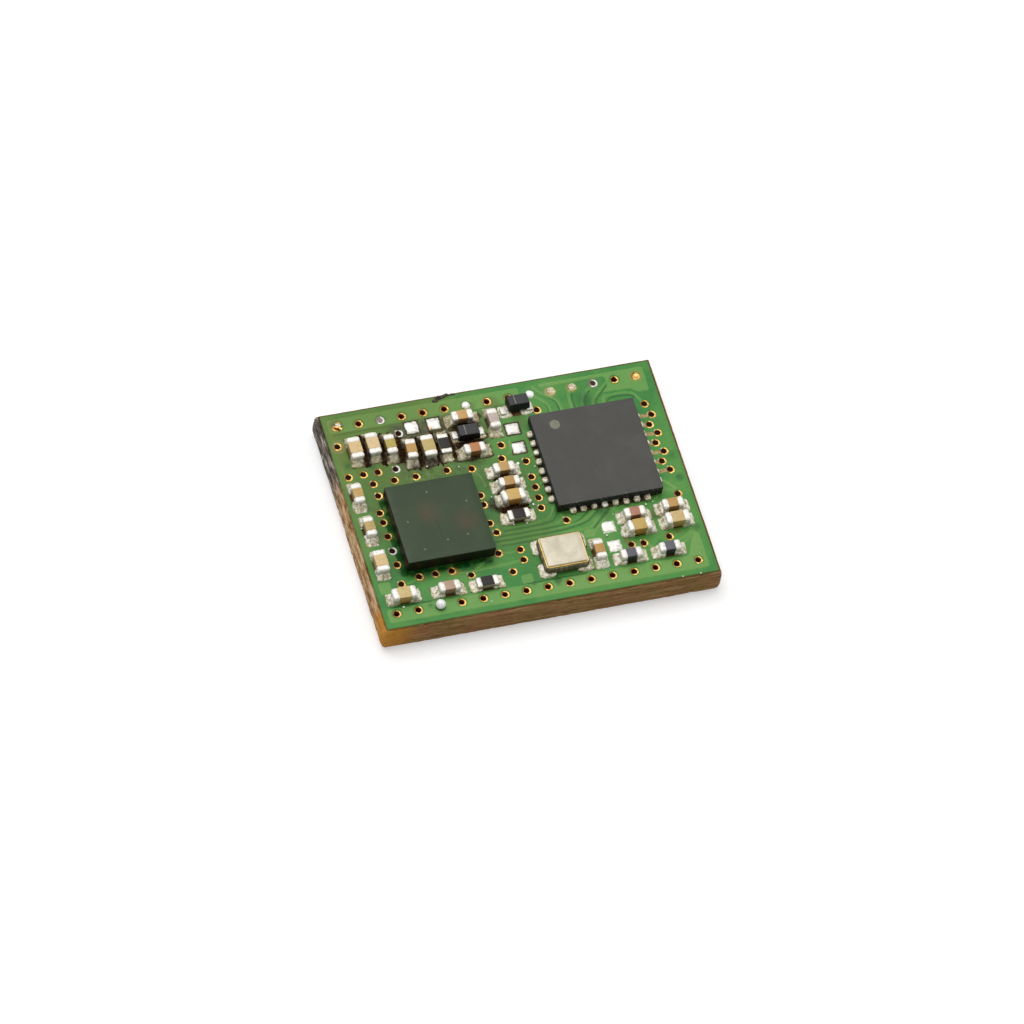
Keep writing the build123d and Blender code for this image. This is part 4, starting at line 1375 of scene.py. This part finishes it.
def make_resistors():
    """Thin chips: pale substrate, dark coat on top and metal round each end."""
    ends = Shape()
    for number, chip in resistors.items():
        slab, coat = Shape(), Shape()
        size = (chip.length - 0.04, chip.width - 0.02, chip.height - 0.03)
        slab.add(pebble(*size, 0.015), chip.frame(CHIP_SEAT + 0.008))
        node = f"resistor_{number}_substrate"
        make_piece(f"resistor_slab_{number}", slab, [alumina], [node], 42)
        run = chip.length - 2 * TERMINATION + 0.04
        cover = pebble(run, chip.width - 0.03, 0.055, 0.02, 5, 0.004, 8, number)
        coat.add(cover, chip.frame(CHIP_SEAT + chip.height - 0.035))
        node = f"resistor_{number}_coat"
        make_piece(f"resistor_cover_{number}", coat, [resistor_coat], [node], 42)
        add_ends(ends, chip, 0.23, number * 5.1, 0.006, 0.06)
    make_piece("resistor_ends", ends, [end_tin], ["resistor_terminations"])


def make_diodes():
    """Two small black mouldings, drawn in above their leads, with a pale line across the top."""
    leads = Shape()
    lead_height = 0.14
    for number, chip in diodes.items():
        body, band = Shape(), Shape()
        points, faces = pebble(chip.length, chip.width, chip.height, 0.035, 7, 0.004, 8, number)
        drawn = []
        for p in points:
            share = max(0.0, p.z - lead_height) / (chip.height - lead_height)
            drawn.append(at(p.x * (1 - 0.075 * share), p.y * (1 - 0.11 * share), p.z))
        where = moved(*DIODE_SLIPS[number])
        where = where @ chip.frame(flip=DIODE_TURNS[number], tilt=DIODE_TILTS[number])
        body.add((drawn, faces), where)
        node = f"diode_{number}_body"
        make_piece(f"diode_moulding_{number}", body, [black_moulding], [node], 42)
        stripe = pebble(0.035, chip.width * 0.80, 0.006, 0.002)
        band.add(stripe, where @ moved(-0.17, 0, chip.height - 0.002))
        make_piece(f"diode_line_{number}", band, [pale_band], crease=42)
        for side in (-1, 1):
            lead = pebble(0.26, 0.36, lead_height, 0.03, 5, 0.01, 8, number)
            leads.add(lead, chip.frame(along=side * (chip.length + 0.22) / 2))
    make_piece("diode_lead_ends", leads, [tin], ["diode_leads"])


# Packages


def make_mcu():
    """The controller: its moulding, its joints, the flux under them and the stubs to its fan-out."""
    body, joints, ground, stubs = Shape(), Shape(), Shape(), Shape()
    low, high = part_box("mcu_body")
    height = (high.z - low.z) / MM
    body.add(pebble(MCU_SIDE, MCU_SIDE, height, 0.045, 15, 0.006, 5, 2), standing(*MCU_PLACE, low.z / MM))
    make_piece("mcu_package", body, [mcu_skin], ["mcu_body"], 60)
    chooser = random.Random(7)
    hidden = 0.16
    for side in range(4):
        for i in range(8):
            reach = chooser.uniform(0.19, 0.25)
            rise = chooser.uniform(0.21, 0.26)
            width = chooser.uniform(0.26, 0.32)
            joint = pebble(reach + hidden, width, rise, 0.13, 7, 0.02, 6, i + 9 * side)
            off = moved(MCU_SIDE / 2 + (reach - hidden) / 2, (i - 3.5) * MCU_LEAD_PITCH)
            joints.add(joint, standing(*MCU_PLACE, BOARD_TOP - 0.02, 90 * side) @ off)
    make_piece("mcu_joints", joints, [solder], ["mcu_solder"])
    for side in range(4):
        ends = [turned(MCU_SIDE / 2 - 0.08, 1.86 * s, 90 * side) for s in (-1, 1)]
        path = [(MCU_PLACE[0] + p.x, MCU_PLACE[1] + p.y) for p in ends]
        ground.add(ribbon(path, 0.46, 0.018, LAMINATE_TOP + 0.002))
    make_piece("mcu_flux_ground", ground, [flux])
    for x, y in fanout_vias():
        stubs.add(ribbon([(6.55, y), (x - 0.16, y)], 0.12, 0.012, BOARD_TOP))
    make_piece("fanout_stubs", stubs, [copper_stub])


def make_sensor():
    body, balls = Shape(), Shape()
    low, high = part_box("sensor_body")
    size = (high - low) / MM
    body.add(pebble(*size, 0.03, 15, 0.003, 4, 1), standing(*SENSOR_PLACE, low.z / MM))
    make_piece("sensor_package", body, [sensor_skin], ["sensor_body"], 60)
    profile = [(0.11, 0.0), (0.145, 0.045), (0.15, 0.085), (0.145, 0.125), (0.11, 0.175)]
    for i in range(7):
        for j in range(7):
            if i in (0, 6) or j in (0, 6):
                x = SENSOR_PLACE[0] + (i - 3) * SENSOR_BALL_PITCH
                y = SENSOR_PLACE[1] + (j - 3) * SENSOR_BALL_PITCH
                balls.add(lathe(profile, 16), standing(x, y, BOARD_TOP))
    make_piece("sensor_ball_ring", balls, [solder], ["sensor_balls"])


def make_crystal():
    lid, joints = Shape(), Shape()
    low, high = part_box("crystal_lid")
    size = (high - low) / MM + at(0.03, 0.03)
    lid.add(pebble(*size, 0.05, 9, 0.004, 4, 5), standing(*CRYSTAL_PLACE, low.z / MM))
    make_piece("crystal_cover", lid, [crystal_lid], ["crystal_lid"], 60)
    end = CRYSTAL_LENGTH / 2 - CRYSTAL_PAD_PITCH[0] / 2
    side = CRYSTAL_PAD + 0.02
    for sx in (-1, 1):
        for sy in (-1, 1):
            seed = sx * 3 + sy
            height = joint_height(end, CRYSTAL_PAD / 2, 0.20, 0.07, seed, 0.3)
            where = standing(*CRYSTAL_PLACE, JOINT_BASE, 0 if sx > 0 else 180)
            where = where @ moved(CRYSTAL_PAD_PITCH[0] / 2, sy * sx * CRYSTAL_PAD_PITCH[1] / 2)
            joints.add(mound(side, side, height, (16, 14), 0.1, 0.1, seed, 0.04), where)
    make_piece("crystal_joints", joints, [solder], ["crystal_solder"])


# Marks of use


def make_flux():
    """Thin pools of flux about the crowded far chips, rims of it round the bare lands of the first two
    footprints, and dark residue with painted shade between chips."""
    shape, dark = Shape(), Shape()
    for k, chip in enumerate(two_land_chips):
        if chip.y > 2.2 and -5.2 < chip.x < -0.6:
            size = (LAND_PITCH + LAND_LENGTH + 0.16, LAND_WIDTH + 0.22)
            pool = mound(*size, rough(0.010, 0.006, 4, k), (22, 14), 0.2, 0.1, k * 1.7, 0.22)
            shape.add(pool, chip.frame(BOARD_TOP))
    for x, y, turn, seed in bare_lands()[:4]:
        rim = window(x, y, LAND_LENGTH + 0.06, LAND_WIDTH + 0.06, turn)
        path = [(p.x - GRID_X, p.y) for p in rim + rim[:1]]
        shape.add(ribbon(path, 0.03, 0.008, BOARD_TOP - 0.001))
    make_piece("flux_pools", shape, [flux])
    # Residue with painted shade in the gaps between chips
    for k, (x0, x1, y0, y1) in enumerate(CREVICES):
        size = (x1 - x0 + 0.12, y1 - y0 + 0.10)
        crumbs = mound(*size, rough(0.018, 0.012, 9, k), (14, 22), 0.08, 0.06, k * 1.3 + 20, 0.10)
        dark.add(crumbs, standing((x0 + x1) / 2, (y0 + y1) / 2, BOARD_TOP - 0.002))
    make_piece("dark_residue_and_shade", dark, [residue])


# Loose beads of solder: place and radius
BEADS = (
    (0.53, -0.72, 0.055), (0.45, 1.50, 0.075), (-7.35, -0.40, 0.05), (-6.62, -4.73, 0.05),
    (3.32, -2.95, 0.05), (5.88, -3.12, 0.05), (-0.62, -1.56, 0.04), (-0.02, -1.60, 0.04),
    (-3.60, 2.18, 0.04), (1.16, 1.22, 0.035), (3.90, -1.92, 0.035), (5.50, -1.72, 0.045),
    (-2.20, 1.88, 0.035), (-2.70, -5.22, 0.03), (5.85, -1.64, 0.035), (-1.20, 0.05, 0.03),
    (6.06, -5.70, 0.035), (6.90, -5.70, 0.035),
)
# Lumps of soot: place, length, width, rise and turn
SOOT = (
    (-2.22, 5.56, 0.44, 0.20, 0.07, 30), (-1.98, 5.64, 0.60, 0.17, 0.10, 14),
    (-1.60, 5.69, 0.62, 0.10, 0.06, -2), (-1.04, -0.56, 0.20, 0.30, 0.05, 10),
)


def make_beads():
    """Loose beads of solder and lumps of soot on the mask."""
    shape, soot = Shape(), Shape()
    for x, y, radius in BEADS:
        bead = pebble(2 * radius, 2 * radius, 1.5 * radius, radius, 5, 0.01, 9, x)
        shape.add(bead, standing(x, y, BOARD_TOP))
    make_piece("solder_beads", shape, [tin])
    for k, (x, y, length, width, rise, turn) in enumerate(SOOT):

        def height(px, py, s=k, top=rise):
            crumbs = bumps(px, py, 11, s) + 0.6 * bumps(px, py, 25, s)
            return max(0.004, top * (0.8 + 0.9 * crumbs))

        lump = mound(length, width, height, (20, 14), 0.06, 0.06, k * 2.1, 0.10)
        soot.add(lump, standing(x, y, BOARD_TOP - 0.003, turn), 1 if y > 0 else 0)
    chooser = random.Random(23)
    for k in range(60):
        angle, far = chooser.uniform(0, math.tau), chooser.random() ** 0.7
        spot = (-1.14 + 0.24 * far * math.cos(angle), -0.42 + 0.46 * far * math.sin(angle))
        size = chooser.uniform(0.025, 0.06) * (1.2 - 0.6 * far)
        grain = pebble(size * 1.4, size, size * 0.6, size * 0.3, 5, 0.008, 20, k)
        soot.add(grain, standing(*spot, BOARD_TOP - 0.002, chooser.uniform(0, 180)))
    make_piece("soot_lumps", soot, [char, ash])


make_laminate()
make_mask()
make_copper_areas()
make_traces()
make_shade_blots()
make_vias()
make_via_solder()
make_torn_via()
make_via_glints()
make_flux()
make_joints()
make_bare_lands()
make_capacitors()
make_resistors()
make_diodes()
make_mcu()
make_sensor()
make_crystal()
make_beads()

# Finishes of the CAD nodes that show as they are
KEPT = {
    "solder_mask_bottom": mask_under,
    "contact_lands": gold,
    "bare_lands": tin,
    "mcu_leads": tin,
    "mcu_thermal_pad": tin,
    "crystal_base": crystal_ceramic,
    "crystal_terminals": gold,
    "crystal_seal_ring": seal_gold,
    "crystal_blank": quartz,
    "crystal_glue": tin,
}
for node, material in KEPT.items():
    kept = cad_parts[node]
    kept.data.materials.clear()
    kept.data.materials.append(material)

# Stage


def finish_white(tree, shader, strength, output):
    """Adds plain white to what the camera, mirrors and glass see, and leaves the lighting alone."""
    camera, gloss, glass = (
        tree.node("LightPath", {}, f"Is {kind} Ray") for kind in ("Camera", "Glossy", "Transmission")
    )
    seen = tree.calc("MAXIMUM", tree.calc("MAXIMUM", camera, gloss), glass)
    white = tree.node("Emission", {"Strength": tree.times(seen, strength)})
    tree.node(output, {0: tree.node("AddShader", {0: shader, 1: white})}, None)


def make_floor():
    mesh = bpy.data.meshes.new("floor")
    half = 0.6
    corners = [(-half, -half), (half, -half), (half, half), (-half, half)]
    mesh.from_pydata([(x, y, -1e-5) for x, y in corners], [], [(0, 1, 2, 3)])
    floor = bpy.data.objects.new("floor", mesh)
    bpy.context.scene.collection.objects.link(floor)
    material = bpy.data.materials.new("floor_white")
    tree = Tree(material)
    paper = tree.node("BsdfDiffuse", {"Color": [0.66, 0.66, 0.66, 1]})
    finish_white(tree, paper, 0.44, "OutputMaterial")
    mesh.materials.append(material)


def make_world():
    world = bpy.data.worlds.new("studio")
    bpy.context.scene.world = world
    tree = Tree(world)
    dome = tree.node("Background", {"Color": [1, 1, 1, 1], "Strength": 0.34})
    finish_white(tree, dome, 0.5, "OutputWorld")


def make_lamp(name, place, size, power):
    """A soft square lamp that faces the board."""
    data = bpy.data.lights.new(name, "AREA")
    data.shape = "SQUARE"
    data.size = size
    data.energy = power
    lamp = bpy.data.objects.new(name, data)
    bpy.context.scene.collection.objects.link(lamp)
    lamp.location = place
    lamp.rotation_mode = "QUATERNION"
    lamp.rotation_quaternion = (-Vector(place)).to_track_quat("-Z", "Y")


def make_camera():
    """The photograph's view: far away, with a long lens and a slight roll."""
    azimuth, elevation, roll = math.radians(-26.544), math.radians(56.488), math.radians(12.579)
    distance = 379.694
    sensor = 36
    picture = 1024
    pixels_per_mm = 22.449
    back = at(math.sin(azimuth), -math.cos(azimuth)) * math.cos(elevation) + at(0, 0, math.sin(elevation))
    right = polar(1, azimuth)
    up = back.cross(right)
    side = math.cos(roll) * right + math.sin(roll) * up
    top = -math.sin(roll) * right + math.cos(roll) * up
    target = on_grid(0, 0, BOARD_TOP) - 0.2445 * side - 0.817 * top
    data = bpy.data.cameras.new("camera")
    data.lens = pixels_per_mm * distance * sensor / picture
    data.sensor_width = sensor
    data.clip_start, data.clip_end = 0.01, 10
    camera = bpy.data.objects.new("camera", data)
    bpy.context.scene.collection.objects.link(camera)
    rotation = Matrix((side, top, back)).transposed()
    camera.matrix_world = Matrix.Translation((target + back * distance) * MM) @ rotation.to_4x4()
    bpy.context.scene.camera = camera


make_floor()
make_world()
make_lamp("softbox_top", (-0.05, 0.10, 0.30), 0.26, 0.74)
make_lamp("softbox_side", (0.30, 0.05, 0.18), 0.22, 0.23)
make_camera()
bpy.context.scene.view_settings.view_transform = "Standard"
